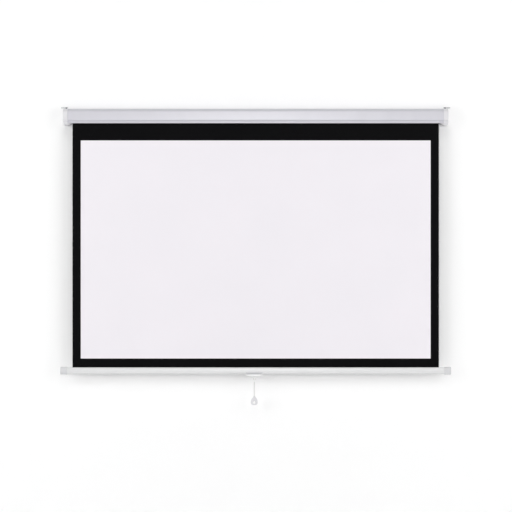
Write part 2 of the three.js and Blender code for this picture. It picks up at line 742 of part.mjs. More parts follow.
function ratchetWheel() {
  const disc = roundX(RATCHET_RADIUS, ratchetX0, ratchetX1, AXIS_Y, 0);
  const bore = roundX(SPINDLE_RADIUS + GAP, ratchetX0 - OVERRUN, ratchetX1 + OVERRUN, AXIS_Y, 0, SMALL_SIDES);
  const notches = Array.from({ length: NOTCH_COUNT }, (_, i) => {
    const shape = rectangle(
      NOTCH_OFFSET - NOTCH_WIDTH / 2,
      RATCHET_ROOT_RADIUS,
      NOTCH_OFFSET + NOTCH_WIDTH / 2,
      RATCHET_RADIUS + OVERRUN,
    );
    const turned = shape.map((p) => {
      const point = p.clone().rotateAround(new THREE.Vector2(), (2 * Math.PI * i) / NOTCH_COUNT);
      return point.add(new THREE.Vector2(AXIS_Y, 0));
    });
    return alongX(turned, ratchetX0 - OVERRUN, ratchetX1 + OVERRUN);
  });
  return cut(disc, bore, ...notches);
}

// The clip that keeps the ratchet wheel on: an open washer in the spindle's waist.
function retainingClip() {
  const disc = roundX(CLIP_RADIUS, clipX0, clipX1, AXIS_Y, 0);
  const bore = roundX(CLIP_GROOVE_RADIUS + GAP, clipX0 - OVERRUN, clipX1 + OVERRUN, AXIS_Y, 0, SMALL_SIDES);
  const half = CLIP_MOUTH / 2;
  const below = -CLIP_RADIUS - OVERRUN;
  const mouth = block(clipX0 - OVERRUN, AXIS_Y - half, below, clipX1 + OVERRUN, AXIS_Y + half, 0);
  return cut(disc, bore, mouth);
}

const anchorX0 = ROLLER_HALF - SPINDLE_INSIDE;
const anchorX1 = anchorX0 + ANCHOR_LENGTH;

function springAnchor() {
  const disc = roundX(ANCHOR_RADIUS, anchorX0, anchorX1, AXIS_Y, 0);
  const bore = roundX(SPINDLE_RADIUS + GAP, anchorX0 - OVERRUN, anchorX1 + OVERRUN, AXIS_Y, 0, SMALL_SIDES);
  return cut(disc, bore);
}

// The torsion spring: one wire wound as a helix from the anchor to the roller's plug.
function torsionSpring() {
  const x0 = anchorX1 + GAP + SPRING_WIRE_RADIUS;
  const x1 = ROLLER_HALF - PLUG_LENGTH - GAP - SPRING_WIRE_RADIUS;
  const count = SPRING_TURNS * SPRING_STEPS;
  const rise = (x1 - x0) / (2 * Math.PI * SPRING_TURNS);
  const rings = Array.from({ length: count + 1 }, (_, i) => {
    const angle = (2 * Math.PI * i) / SPRING_STEPS;
    const out = new THREE.Vector3(0, Math.cos(angle), Math.sin(angle));
    const onAxis = new THREE.Vector3(x0 + rise * angle, AXIS_Y, 0);
    const point = out.clone().multiplyScalar(SPRING_RADIUS).add(onAxis);
    const tangent = new THREE.Vector3(rise, -SPRING_RADIUS * out.z, SPRING_RADIUS * out.y).normalize();
    const side = tangent.clone().cross(out);
    return Array.from({ length: SPRING_SIDES }, (_, k) => {
      const around = (2 * Math.PI * k) / SPRING_SIDES;
      const away = out.clone().multiplyScalar(SPRING_WIRE_RADIUS * Math.cos(around));
      return away.addScaledVector(side, SPRING_WIRE_RADIUS * Math.sin(around)).add(point);
    });
  });
  return skin(rings);
}

// A pawl's outline about the roller's axis: an eye round its pin, an arm and a tooth.
function pawl(sign) {
  const armBottom = PAWL_PIVOT_OUT - PAWL_ARM_HALF;
  const armTop = PAWL_PIVOT_OUT + PAWL_ARM_HALF;
  const toothEnd = RATCHET_RADIUS + PAWL_TOOTH_CLEAR;
  const half = PAWL_TOOTH_WIDTH / 2;
  const place = (points) => points.map((p) => new THREE.Vector2(AXIS_Y + sign * p.x, sign * p.y));
  const arm = rectangle(-half, armBottom, PAWL_PIVOT_ACROSS, armTop);
  const tooth = rectangle(-half, toothEnd, half, armTop);
  const [y, z] = aboutAxis(sign, PAWL_PIVOT_ACROSS, PAWL_PIVOT_OUT);
  const eye = roundX(PAWL_EYE_RADIUS, pawlX0, pawlX1, y, z, SMALL_SIDES);
  const bore = roundX(PAWL_PIN_RADIUS + GAP, pawlX0 - OVERRUN, pawlX1 + OVERRUN, y, z, SMALL_SIDES);
  return cut(join(alongX(place(arm), pawlX0, pawlX1), alongX(place(tooth), pawlX0, pawlX1), eye), bore);
}

function pawlPin(sign) {
  const [y, z] = aboutAxis(sign, PAWL_PIVOT_ACROSS, PAWL_PIVOT_OUT);
  const head = pawlX1 + GAP;
  const end = flangeFace - PAWL_PIN_DEPTH;
  const shank = roundX(PAWL_PIN_RADIUS, end, head + PAWL_PIN_HEAD / 2, y, z, SMALL_SIDES);
  return join(shank, roundX(PAWL_PIN_HEAD_RADIUS, head, head + PAWL_PIN_HEAD, y, z, SMALL_SIDES));
}

// The idle end, drawn on the right and mirrored to the left.
function idlePin() {
  const tip = capPlateInner - IDLE_PIN_TIP_ROOM;
  return roundX(IDLE_PIN_RADIUS, ROLLER_HALF - PLUG_LENGTH, tip, AXIS_Y, 0, SMALL_SIDES);
}

function idleBush() {
  const x0 = plateX0 - GAP - BUSH_FLANGE_THICKNESS;
  const x1 = x0 + BUSH_LENGTH;
  const flange = roundX(BUSH_FLANGE_RADIUS, x0, plateX0 - GAP, AXIS_Y, 0);
  const body = roundX(BUSH_RADIUS, x0, x1, AXIS_Y, 0);
  const bore = roundX(IDLE_PIN_RADIUS + GAP, x0 - OVERRUN, x1 + OVERRUN, AXIS_Y, 0, SMALL_SIDES);
  return cut(join(flange, body), bore);
}

// A bearing plate, drawn on the right, with the hole that carries its end of the roller.
function bearingPlate(hole) {
  const outline = rounded([
    [AXIS_Y - PLATE_WIDTH / 2, -PLATE_HEIGHT / 2, PLATE_CORNER_RADIUS],
    [AXIS_Y + PLATE_WIDTH / 2, -PLATE_HEIGHT / 2, PLATE_CORNER_RADIUS],
    [AXIS_Y + PLATE_WIDTH / 2, PLATE_HEIGHT / 2, PLATE_CORNER_RADIUS],
    [AXIS_Y - PLATE_WIDTH / 2, PLATE_HEIGHT / 2, PLATE_CORNER_RADIUS],
  ]);
  const screwHoles = [-1, 1].map((sign) =>
    roundX(
      PORT_BORE_RADIUS,
      plateX0 - OVERRUN,
      plateX1 + OVERRUN,
      AXIS_Y,
      sign * PLATE_SCREW_SPREAD,
      SMALL_SIDES,
    ),
  );
  const bearing = alongX(hole, plateX0 - OVERRUN, plateX1 + OVERRUN);
  return cut(alongX(outline, plateX0, plateX1), bearing, ...screwHoles);
}

const bladeSlot = rectangle(
  AXIS_Y - BLADE_THICKNESS / 2 - GAP,
  -BLADE_HEIGHT / 2 - GAP,
  AXIS_Y + BLADE_THICKNESS / 2 + GAP,
  BLADE_HEIGHT / 2 + GAP,
);

// A plate screw, drawn on the right: its head on the plate's inner face, its shank outwards.
function plateScrew(z) {
  const seat = plateX0 - GAP;
  const head = roundX(HEAD_RADIUS, seat - HEAD_HEIGHT, seat, AXIS_Y, z, SCREW_SIDES);
  const end = capPlateInner - PLATE_BOSS_HEIGHT + PLATE_SCREW_LENGTH - GAP;
  return join(head, roundX(SHANK_RADIUS, seat - OVERRUN, end, AXIS_Y, z, SCREW_SIDES));
}

// The turns of fabric that never leave the roller.
function fabricRoll() {
  const half = FABRIC_WIDTH / 2;
  const roll = roundX(ROLL_RADIUS, -half, half, AXIS_Y, 0);
  return cut(roll, roundX(ROLLER_RADIUS + GAP, -half - OVERRUN, half + OVERRUN, AXIS_Y, 0));
}

const barSplineZ = BAR_TOP - pocketRadius;
const fabricBottom = barSplineZ + SPLINE_RADIUS + GAP;

function screenFabric() {
  const half = FABRIC_WIDTH / 2;
  const thick = FABRIC_THICKNESS / 2;
  return block(-half, FABRIC_Y - thick, fabricBottom, half, FABRIC_Y + thick, 0);
}

function spline(y, z) {
  return roundX(SPLINE_RADIUS, -FABRIC_WIDTH / 2, FABRIC_WIDTH / 2, y, z, SMALL_SIDES);
}

// An oval section of the bar, grown or shrunk by an amount, in Y and Z.
function barSection(grow) {
  const outline = oval(BAR_DEPTH / 2 + grow, BAR_HEIGHT / 2 + grow);
  return outline.map((p) => new THREE.Vector2(p.x + FABRIC_Y, p.y + BAR_CENTRE));
}

function bottomBar() {
  const past = BAR_HALF + OVERRUN;
  const outside = alongX(barSection(0), -BAR_HALF, BAR_HALF);
  const wall = cut(outside, alongX(barSection(-BAR_WALL), -past, past));
  const rib = roundX(pocketRadius, -BAR_HALF, BAR_HALF, FABRIC_Y, barSplineZ, SMALL_SIDES);
  const pocket = splinePocket(FABRIC_Y, barSplineZ, pocketRadius + OVERRUN, past);
  const screwHoles = handleScrewPlaces.map((x) =>
    roundZ(PORT_BORE_RADIUS, BAR_BOTTOM - OVERRUN, BAR_BOTTOM + BAR_WALL + OVERRUN, x, FABRIC_Y, SMALL_SIDES),
  );
  return cut(join(wall, common(rib, outside)), pocket, ...screwHoles);
}

function barWeightRod() {
  const half = BAR_HALF - WEIGHT_ROD_END_ROOM;
  const z = BAR_BOTTOM + BAR_WALL + GAP + WEIGHT_ROD_RADIUS;
  return roundX(WEIGHT_ROD_RADIUS, -half, half, FABRIC_Y, z, SMALL_SIDES);
}

function barEndCap() {
  const x0 = BAR_CAP_OUTER - BAR_CAP_LENGTH;
  const shell = domed(
    barSection(GAP + BAR_CAP_WALL),
    FABRIC_Y,
    BAR_CENTRE,
    x0,
    BAR_CAP_OUTER,
    BAR_CAP_EDGE_RADIUS,
  );
  return cut(shell, alongX(barSection(GAP), x0 - OVERRUN, BAR_CAP_OUTER - BAR_CAP_END));
}

// The handle: a saddle that grips the bar's underside, a neck, a bowed flange and a lug.
const saddleBottom = BAR_BOTTOM - GAP - SADDLE_WALL;
const flangeTop = saddleBottom - NECK_HEIGHT;
const flangeBottom = flangeTop - FLANGE_HEIGHT;
const nubBottom = flangeBottom - NUB_HEIGHT;
const lugBottom = nubBottom - LUG_HEIGHT;
const handleScrewPlaces = [-1, 1].map((sign) => HANDLE_X + sign * HANDLE_SCREW_SPREAD);

function handleClip() {
  const saddleOutline = rounded([
    [HANDLE_X - SADDLE_WIDTH / 2, BAR_BOTTOM + SADDLE_WRAP, 0],
    [HANDLE_X - NECK_WIDTH / 2, saddleBottom - OVERRUN, 0],
    [HANDLE_X + NECK_WIDTH / 2, saddleBottom - OVERRUN, 0],
    [HANDLE_X + SADDLE_WIDTH / 2, BAR_BOTTOM + SADDLE_WRAP, 0],
  ]);
  const halfDepth = BAR_DEPTH / 2 + GAP + SADDLE_WALL;
  const wedge = alongY(saddleOutline, FABRIC_Y - halfDepth - OVERRUN, FABRIC_Y + halfDepth + OVERRUN);
  const reach = SADDLE_WIDTH / 2 + OVERRUN;
  const sleeve = cut(
    alongX(barSection(GAP + SADDLE_WALL), HANDLE_X - reach, HANDLE_X + reach),
    alongX(barSection(GAP), HANDLE_X - reach - OVERRUN, HANDLE_X + reach + OVERRUN),
  );
  const saddle = common(sleeve, wedge);
  const neck = block(
    HANDLE_X - NECK_WIDTH / 2,
    FABRIC_Y - NECK_DEPTH / 2,
    flangeTop - OVERRUN,
    HANDLE_X + NECK_WIDTH / 2,
    FABRIC_Y + NECK_DEPTH / 2,
    saddleBottom + SADDLE_WALL / 2,
  );
  const flangeOutline = rounded([
    [HANDLE_X - FLANGE_WIDTH / 2, flangeTop, FLANGE_CORNER_RADIUS],
    [HANDLE_X - FLANGE_LOWER_WIDTH / 2, flangeBottom, FLANGE_WIDTH],
    [HANDLE_X + FLANGE_LOWER_WIDTH / 2, flangeBottom, FLANGE_WIDTH],
    [HANDLE_X + FLANGE_WIDTH / 2, flangeTop, FLANGE_CORNER_RADIUS],
  ]);
  const flange = alongY(flangeOutline, FABRIC_Y - FLANGE_DEPTH / 2, FABRIC_Y + FLANGE_DEPTH / 2);
  const nubOutline = rounded([
    [HANDLE_X - NUB_WIDTH / 2, flangeBottom + OVERRUN, 0],
    [HANDLE_X - LUG_WIDTH / 2, nubBottom, NUB_HEIGHT],
    [HANDLE_X - LUG_WIDTH / 2, lugBottom, 0],
    [HANDLE_X + LUG_WIDTH / 2, lugBottom, 0],
    [HANDLE_X + LUG_WIDTH / 2, nubBottom, NUB_HEIGHT],
    [HANDLE_X + NUB_WIDTH / 2, flangeBottom + OVERRUN, 0],
  ]);
  const nub = alongY(nubOutline, FABRIC_Y - LUG_DEPTH / 2, FABRIC_Y + LUG_DEPTH / 2);
  const lugHole = roundX(
    CORD_RING_WIRE + 2 * GAP,
    HANDLE_X - NUB_WIDTH,
    HANDLE_X + NUB_WIDTH,
    FABRIC_Y,
    cordRingZ + CORD_RING_RADIUS,
    SMALL_SIDES,
  );
  const screwHoles = handleScrewPlaces.map((x) =>
    roundZ(PORT_BORE_RADIUS, flangeBottom - OVERRUN, BAR_BOTTOM, x, FABRIC_Y, SMALL_SIDES),
  );
  const seatTop = flangeBottom + HEAD_HEIGHT + GAP;
  const screwSeats = handleScrewPlaces.map((x) =>
    roundZ(HEAD_RADIUS + GAP, flangeBottom - OVERRUN, seatTop, x, FABRIC_Y, SCREW_SIDES),
  );
  return cut(join(saddle, neck, flange, nub), lugHole, ...screwHoles, ...screwSeats);
}

function handleScrew(x) {
  const seat = flangeBottom + HEAD_HEIGHT;
  const head = roundZ(HEAD_RADIUS, seat - HEAD_HEIGHT, seat, x, FABRIC_Y, SCREW_SIDES);
  return join(head, roundZ(SHANK_RADIUS, seat - OVERRUN, BAR_BOTTOM + BAR_WALL, x, FABRIC_Y, SCREW_SIDES));
}

// The small wire ring through the handle's lug, hanging under it.
const cordRingZ = lugBottom + LUG_BELOW_HOLE + CORD_RING_WIRE + 2 * GAP - CORD_RING_RADIUS;
const ringFloorZ = cordRingZ - CORD_RING_RADIUS;

function cordRing() {
  const ring = new THREE.TorusGeometry(CORD_RING_RADIUS, CORD_RING_WIRE, SMALL_SIDES / 2, ROUND_SIDES);
  return ring.rotateX(Math.PI / 2).translate(HANDLE_X, FABRIC_Y, cordRingZ);
}

// The ferrule: an eye that hangs on the ring, and a sleeve that grips the cord's end.
const eyeBottomZ = ringFloorZ - FERRULE_EYE_RADIUS - FERRULE_EYE_WIRE;

function cordFerrule() {
  const eye = new THREE.TorusGeometry(FERRULE_EYE_RADIUS, FERRULE_EYE_WIRE, SMALL_SIDES / 2, SMALL_SIDES);
  eye.rotateY(Math.PI / 2).translate(HANDLE_X, FABRIC_Y, ringFloorZ);
  const top = eyeBottomZ + FERRULE_EYE_WIRE;
  const bottom = eyeBottomZ - FERRULE_LENGTH;
  const shoulder = FERRULE_RADIUS - FERRULE_NECK_RADIUS;
  const profile = [
    new THREE.Vector2(0, bottom),
    new THREE.Vector2(FERRULE_RADIUS - shoulder / 2, bottom),
    new THREE.Vector2(FERRULE_RADIUS, bottom + shoulder / 2),
    new THREE.Vector2(FERRULE_RADIUS, top - shoulder),
    new THREE.Vector2(FERRULE_NECK_RADIUS, top),
    new THREE.Vector2(0, top),
  ];
  const sleeve = new THREE.LatheGeometry(profile, SMALL_SIDES);
  sleeve.rotateX(Math.PI / 2).translate(HANDLE_X, FABRIC_Y, 0);
  return join(eye, sleeve);
}

function pullCord() {
  const route = new THREE.CatmullRomCurve3(CORD_ROUTE.map(([x, y, z]) => new THREE.Vector3(x, y, z)));
  const section = new THREE.Shape(circle(CORD_RADIUS, 0, 0, CORD_SIDES));
  return new THREE.ExtrudeGeometry(section, { steps: CORD_ROUTE.length, extrudePath: route });
}

// The bell-shaped pull at the cord's end, with an opening through it.
const [pullX, pullY, cordEndZ] = CORD_ROUTE[CORD_ROUTE.length - 1];
const pullTop = cordEndZ - GAP;
const pullBottom = pullTop - PULL_HEIGHT;

function pullDrop() {
  const half = PULL_WIDTH / 2;
  const neck = PULL_NECK_WIDTH / 2;
  const middle = (pullTop + pullBottom) / 2;
  const flareTop = pullTop - PULL_NECK_LENGTH;
  const flareLow = flareTop - PULL_FLARE_LENGTH;
  const outline = rounded([
    [pullX - neck, pullTop, PULL_EDGE_RADIUS],
    [pullX - neck, flareTop, PULL_FLARE_RADIUS],
    [pullX - half + PULL_FLARE_INSET, flareLow, PULL_FLARE_RADIUS],
    [pullX - half, pullBottom, PULL_CORNER_RADIUS],
    [pullX + half, pullBottom, PULL_CORNER_RADIUS],
    [pullX + half - PULL_FLARE_INSET, flareLow, PULL_FLARE_RADIUS],
    [pullX + neck, flareTop, PULL_FLARE_RADIUS],
    [pullX + neck, pullTop, PULL_EDGE_RADIUS],
  ]);
  const halfDepth = PULL_DEPTH / 2;
  const body = domed(outline, pullX, middle, -halfDepth, halfDepth, PULL_EDGE_RADIUS, true);
  body.rotateZ(-Math.PI / 2).translate(0, pullY, 0);
  const holeBottom = pullBottom + PULL_HOLE_ABOVE_END;
  const hole = rounded([
    [pullX - PULL_HOLE_WIDTH / 2, holeBottom, PULL_HOLE_WIDTH / 2],
    [pullX + PULL_HOLE_WIDTH / 2, holeBottom, PULL_HOLE_WIDTH / 2],
    [pullX, holeBottom + PULL_HOLE_HEIGHT, PULL_EDGE_RADIUS],
  ]);
  return cut(body, alongY(hole, pullY - PULL_DEPTH, pullY + PULL_DEPTH));
}

// One material for each piece, from its colour and the way its surface is finished.
function finish(color, roughness, metalness) {
  return new THREE.MeshStandardMaterial({ color, roughness, metalness, flatShading: true });
}
const whitePaint = () => finish(0xdedde2, 0.45, 0);
const whitePlastic = () => finish(0xe4e3e6, 0.5, 0);
const blackFabric = () => finish(0x111113, 0.85, 0);
const screenWhite = () => finish(0xeeecf0, 0.9, 0);
const zincSteel = () => finish(0xb4b6b8, 0.4, 1);
const springSteel = () => finish(0x6c6e72, 0.45, 1);
const aluminium = () => finish(0xc2c4c7, 0.35, 1);
const nylon = () => finish(0xe8e4d8, 0.6, 0);
const whiteCord = () => finish(0xefeeec, 0.9, 0);

// A named mesh in the screen's own frame.
function piece(name, geometry, material) {
  const mesh = new THREE.Mesh(geometry, material);
  mesh.name = name;
  return mesh;
}

// The casing with its two ends: caps, screws, bearing plates, staples and rings.
function casingGroup() {
  const group = new THREE.Group();
  group.add(piece("casing_shell", casingShell(), whitePaint()));
  const cap = endCap();
  const staple = ringStaple();
  const ring = hangingRing();
  const holes = { left: circle(BUSH_RADIUS + GAP, AXIS_Y, 0), right: bladeSlot };
  for (const [name, side] of [["left", -1], ["right", 1]]) {
    group.add(piece(`end_cap_${name}`, onSide(side, cap), whitePlastic()));
    ports.forEach(([y, z], i) => {
      const length = CAP_LENGTH - HEAD_HEIGHT + CAP_SCREW_GRIP;
      const screw = screwAlongX(CAP_OUTER - HEAD_HEIGHT + GAP, length, y, z);
      group.add(piece(`cap_screw_${name}_${portNames[i]}`, onSide(side, screw), zincSteel()));
    });
    group.add(piece(`bearing_plate_${name}`, onSide(side, bearingPlate(holes[name])), zincSteel()));
    for (const [place, sign] of [["upper", 1], ["lower", -1]]) {
      const screw = plateScrew(sign * PLATE_SCREW_SPREAD);
      group.add(piece(`plate_screw_${name}_${place}`, onSide(side, screw), zincSteel()));
    }
    group.add(piece(`ring_staple_${name}`, onSide(side, staple), zincSteel()));
    const hung = piece(`hanging_ring_${name}`, ring, zincSteel());
    hung.position.set(side * (CASING_HALF + RING_PAST_CASING), RING_Y, CASING_TOP + RING_AXIS_ABOVE_CAP);
    hung.rotation.x = -RING_TILT;
    group.add(hung);
  }
  return group;
}

// What stays still inside the roller.
function mechanismGroup() {
  const group = new THREE.Group();
  group.add(piece("spring_spindle", spindle(), zincSteel()));
  group.add(piece("ratchet_wheel", ratchetWheel(), zincSteel()));
  group.add(piece("ratchet_clip", retainingClip(), springSteel()));
  group.add(piece("spring_anchor", springAnchor(), nylon()));
  group.add(piece("torsion_spring", torsionSpring(), springSteel()));
  group.add(piece("idle_bush", mirrored(idleBush()), nylon()));
  return group;
}

// What turns: the tube, its plugs and pin, the pawls, and the turns of fabric left on it.
function rollerGroup() {
  const group = new THREE.Group();
  group.add(piece("roller_tube", rollerTube(), aluminium()));
  group.add(piece("spring_end_plug", springEndPlug(), nylon()));
  group.add(piece("idle_end_plug", mirrored(rollerPlug(IDLE_PIN_RADIUS + GAP)), nylon()));
  group.add(piece("idle_pin", mirrored(idlePin()), zincSteel()));
  group.add(piece("roller_spline", spline(AXIS_Y, rollerSplineZ), nylon()));
  group.add(piece("fabric_roll", fabricRoll(), blackFabric()));
  for (const [place, sign] of [["upper", 1], ["lower", -1]]) {
    group.add(piece(`pawl_${place}`, pawl(sign), springSteel()));
    group.add(piece(`pawl_pin_${place}`, pawlPin(sign), zincSteel()));
  }
  return group;
}

// What travels up and down: the bar with what is in it and on it.
function barGroup() {
  const group = new THREE.Group();
  group.add(piece("bottom_bar", bottomBar(), whitePaint()));
  group.add(piece("bar_spline", spline(FABRIC_Y, barSplineZ), nylon()));
  group.add(piece("bar_weight_rod", barWeightRod(), zincSteel()));
  const cap = barEndCap();
  for (const [name, side] of [["left", -1], ["right", 1]]) {
    group.add(piece(`bar_end_cap_${name}`, onSide(side, cap), whitePlastic()));
  }
  group.add(piece("handle_clip", handleClip(), whitePlastic()));
  handleScrewPlaces.forEach((x, i) => {
    group.add(piece(`handle_screw_${i === 0 ? "left" : "right"}`, handleScrew(x), zincSteel()));
  });
  return group;
}

// What hangs from the handle.
function pullGroup() {
  const group = new THREE.Group();
  group.add(piece("cord_ring", cordRing(), zincSteel()));
  group.add(piece("cord_ferrule", cordFerrule(), whitePlastic()));
  group.add(piece("pull_cord", pullCord(), whiteCord()));
  group.add(piece("pull_drop", pullDrop(), whitePlastic()));
  return group;
}

const screen = new THREE.Group();
screen.add(casingGroup(), mechanismGroup(), rollerGroup(), barGroup(), pullGroup());
screen.add(piece("screen_fabric", screenFabric(), screenWhite()));

export default screen;
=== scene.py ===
"""Retractable projection screen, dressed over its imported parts.

The front faces -Y, the wall is behind at +Y, and X runs along the casing. Points are worked out
in millimetres, as in the part's source, and go into each mesh in metres.
"""

import math

import bmesh
import bpy
import numpy as np
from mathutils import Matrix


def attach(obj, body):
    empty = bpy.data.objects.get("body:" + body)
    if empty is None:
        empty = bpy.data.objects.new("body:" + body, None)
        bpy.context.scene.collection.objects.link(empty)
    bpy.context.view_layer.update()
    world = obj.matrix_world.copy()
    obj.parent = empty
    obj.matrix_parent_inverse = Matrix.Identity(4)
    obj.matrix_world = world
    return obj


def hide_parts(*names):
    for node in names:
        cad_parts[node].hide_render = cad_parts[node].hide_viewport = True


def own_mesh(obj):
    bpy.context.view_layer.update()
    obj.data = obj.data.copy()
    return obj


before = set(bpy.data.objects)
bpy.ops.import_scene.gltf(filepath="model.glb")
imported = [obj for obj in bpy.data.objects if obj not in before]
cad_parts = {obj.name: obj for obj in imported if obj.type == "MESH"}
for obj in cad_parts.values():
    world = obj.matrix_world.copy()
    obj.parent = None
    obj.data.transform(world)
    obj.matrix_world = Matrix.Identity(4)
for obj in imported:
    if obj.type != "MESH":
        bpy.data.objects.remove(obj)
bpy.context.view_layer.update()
scene = bpy.context.scene

# Camera. It stands 8 m in front of the fabric, level with the middle of the photograph, which is
# 1.5 mm right of the casing's middle and 689 mm below it. The photograph spans 2.517 m there.
PHOTO_SPAN = 2.517
CAMERA_DISTANCE = 8.0
PHOTO_MIDDLE_X = 0.0015
PHOTO_MIDDLE_Z = -0.6881
FABRIC_Y = -63.65
MM = 0.001


def put_in(name, data):
    """A new object in the scene for a lens, a mesh or a lamp."""
    thing = bpy.data.objects.new(name, data)
    scene.collection.objects.link(thing)
    return thing


lens = bpy.data.cameras.new("camera")
lens.sensor_width = 36.0
lens.lens = lens.sensor_width * CAMERA_DISTANCE / PHOTO_SPAN
lens.clip_end = 60.0
camera = put_in("camera", lens)
camera.location = (PHOTO_MIDDLE_X, FABRIC_Y * MM - CAMERA_DISTANCE, PHOTO_MIDDLE_Z)
camera.rotation_euler = (math.pi / 2, 0, 0)
scene.camera = camera

# Pull cord. A short cord of braided white polyester, 4 mm thick, which hangs from its ferrule
# under the handle. The photograph shows it from end to end, so it has no spare length.
CORD_ROUTE = np.array([
    (-7, -63.65, -1308), (-7.05, -63.63, -1318), (-7.12, -63.6, -1328), (-7.15, -63.58, -1338),
    (-7.12, -63.6, -1348), (-7.06, -63.62, -1358), (-7.02, -63.64, -1368), (-7, -63.65, -1377),
])
CORD_RADIUS = 2.0
CORD_STATIONS = 161
CORD_SIDES = 32
TUCK_TOP, TUCK_LOW = 0.5, 0.2
CARRIERS = 8
PLAIT_PITCH = 9.0
PLAIT_HEIGHT = 0.16


def linear(code):
    """An sRGB hex colour as linear RGBA: each channel over 255, raised along the sRGB curve."""
    c = np.array([int(code[i:i + 2], 16) for i in (1, 3, 5)]) / 255
    return (*np.where(c <= 0.04045, c / 12.92, ((c + 0.055) / 1.055) ** 2.4), 1.0)


def add_node(tree, kind, sockets=None, **settings):
    """Adds one shader node, with its settings, and with a value or a link for each socket."""
    node = tree.nodes.new("ShaderNode" + kind)
    for name, value in settings.items():
        setattr(node, name, value)
    for name, value in (sockets or {}).items():
        if isinstance(value, bpy.types.NodeSocket):
            tree.links.new(value, node.inputs[name])
        else:
            node.inputs[name].default_value = value
    return node


def start_material(name, colour, roughness, metallic=0.0):
    """A new material: its node tree and its shader, with the plain values already set."""
    material = bpy.data.materials.new(name)
    material.use_nodes = True
    shader = material.node_tree.nodes["Principled BSDF"]
    shader.inputs["Base Color"].default_value = linear(colour)
    shader.inputs["Roughness"].default_value = roughness
    shader.inputs["Metallic"].default_value = metallic
    return material, material.node_tree, shader


def mottled(name, dark, light, patch, roughness, metallic=0.0, detail=2.0, stretch=1):
    """A material whose colour drifts from dark to light, and its roughness too where a low and a
    high one are given, over patches of noise of one size in metres, stretched along X."""
    low, high = roughness if isinstance(roughness, tuple) else (roughness, roughness)
    material, tree, shader = start_material(name, light, (low + high) / 2, metallic)
    place = add_node(tree, "TexCoord").outputs["Object"]
    if stretch != 1:
        drawn = add_node(tree, "Mapping", {"Vector": place, "Scale": (1 / stretch, 1, 1)})
        place = drawn.outputs[0]
    noise = add_node(tree, "TexNoise", {"Vector": place, "Scale": 1 / patch, "Detail": detail})
    tone = add_node(tree, "Mix", {0: noise.outputs["Fac"], 6: linear(dark), 7: linear(light)},
                    data_type="RGBA")
    tree.links.new(tone.outputs[2], shader.inputs["Base Color"])
    if high > low:
        gloss = add_node(tree, "MapRange", {"Value": noise.outputs["Fac"], "To Min": low,
                                            "To Max": high})
        tree.links.new(gloss.outputs[0], shader.inputs["Roughness"])
    return material, tree, shader


def grain(tree, shader, size, strength, height, detail=2.0):
    """Bump of noise on a shader: grains of one size and height in metres."""
    place = add_node(tree, "TexCoord").outputs["Object"]
    noise = add_node(tree, "TexNoise", {"Vector": place, "Scale": 1 / size, "Detail": detail})
    bump = add_node(tree, "Bump", {"Height": noise.outputs["Fac"], "Strength": strength,
                                   "Distance": height})
    tree.links.new(bump.outputs[0], shader.inputs["Normal"])


def shell(points, rows_round=False, ends=True):
    """A grid of points as vertices and faces, in closed columns.

    Each cell between two rows and two columns is a face, and the last column meets the first.
    The last row meets the first if rows_round, and else the first and last rows are closed flat.
    """
    rows, columns = points.shape[:2]
    index = np.arange(rows * columns).reshape(rows, columns)
    low = index if rows_round else index[:-1]
    high = np.roll(index, -1, 0)[:len(low)]
    cells = np.stack([low, np.roll(low, -1, 1), np.roll(high, -1, 1), high], -1).reshape(-1, 4)
    faces = cells.tolist()
    if ends and not rows_round:
        faces += [index[0, ::-1].tolist(), index[-1].tolist()]
    return points.reshape(-1, 3), faces


def smooth(mesh, sharp=34):
    """Shades a mesh smooth except across edges sharper than an angle in degrees."""
    mesh.shade_smooth()
    mesh.set_sharp_from_angle(angle=math.radians(sharp))


def make_piece(name, shells, material, **shading):
    """One object from closed shells: put in metres, turned to face outwards, and smoothed."""
    counts = np.cumsum([0] + [len(points) for points, _ in shells])
    faces = [[i + count for i in face]
             for count, (_, cells) in zip(counts, shells) for face in cells]
    mesh = bpy.data.meshes.new(name)
    mesh.from_pydata((np.concatenate([points for points, _ in shells]) * MM).tolist(), [], faces)
    work = bmesh.new()
    work.from_mesh(mesh)
    bmesh.ops.recalc_face_normals(work, faces=work.faces)
    work.to_mesh(mesh)
    work.free()
    smooth(mesh, **shading)
    mesh.materials.append(material)
    return put_in(name, mesh)


def stand_in(piece, body, node):
    """Makes a piece ride on a body and take the place of a CAD node, which it hides."""
    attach(piece, body)
    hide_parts(node)


def braided_tube(route):
    """Rings along a route. The radius rises where one strand of a plait passes over another: by
    the product of two waves that wind opposite ways round the cord."""
    down = np.linspace(route[0, 2] + TUCK_TOP, route[-1, 2] - TUCK_LOW, CORD_STATIONS)
    middle = np.stack([np.interp(-down, -route[:, 2], route[:, k]) for k in (0, 1)] + [down], -1)
    around = np.linspace(0, 2 * np.pi, CORD_SIDES, endpoint=False)
    wind = 2 * np.pi * down[:, None] / PLAIT_PITCH
    plait = np.abs(np.sin(CARRIERS / 2 * around + wind) * np.sin(CARRIERS / 2 * around - wind))
    radius = CORD_RADIUS - PLAIT_HEIGHT / 2 + PLAIT_HEIGHT * plait
    ring = np.stack([np.cos(around), np.sin(around), np.zeros(CORD_SIDES)], -1)
    return middle, middle[:, None] + radius[..., None] * ring


# Polyester yarn: matt and slightly fuzzy, with a soft sheen, and a tone that drifts at random in
# specks about 0.4 mm across.
polyester, tree, shader = mottled("braided_polyester", "#D4D3D2", "#E8E7E6", 0.4 * MM, 0.85)
grain(tree, shader, 0.4 * MM, 0.5, 0.1 * MM)
shader.inputs["Sheen Weight"].default_value = 0.25

cord_middle, cord_rings = braided_tube(CORD_ROUTE)
cord = make_piece("white_pull_cord", [shell(cord_rings)], polyester, sharp=60)
stand_in(cord, "pull", "pull_cord")

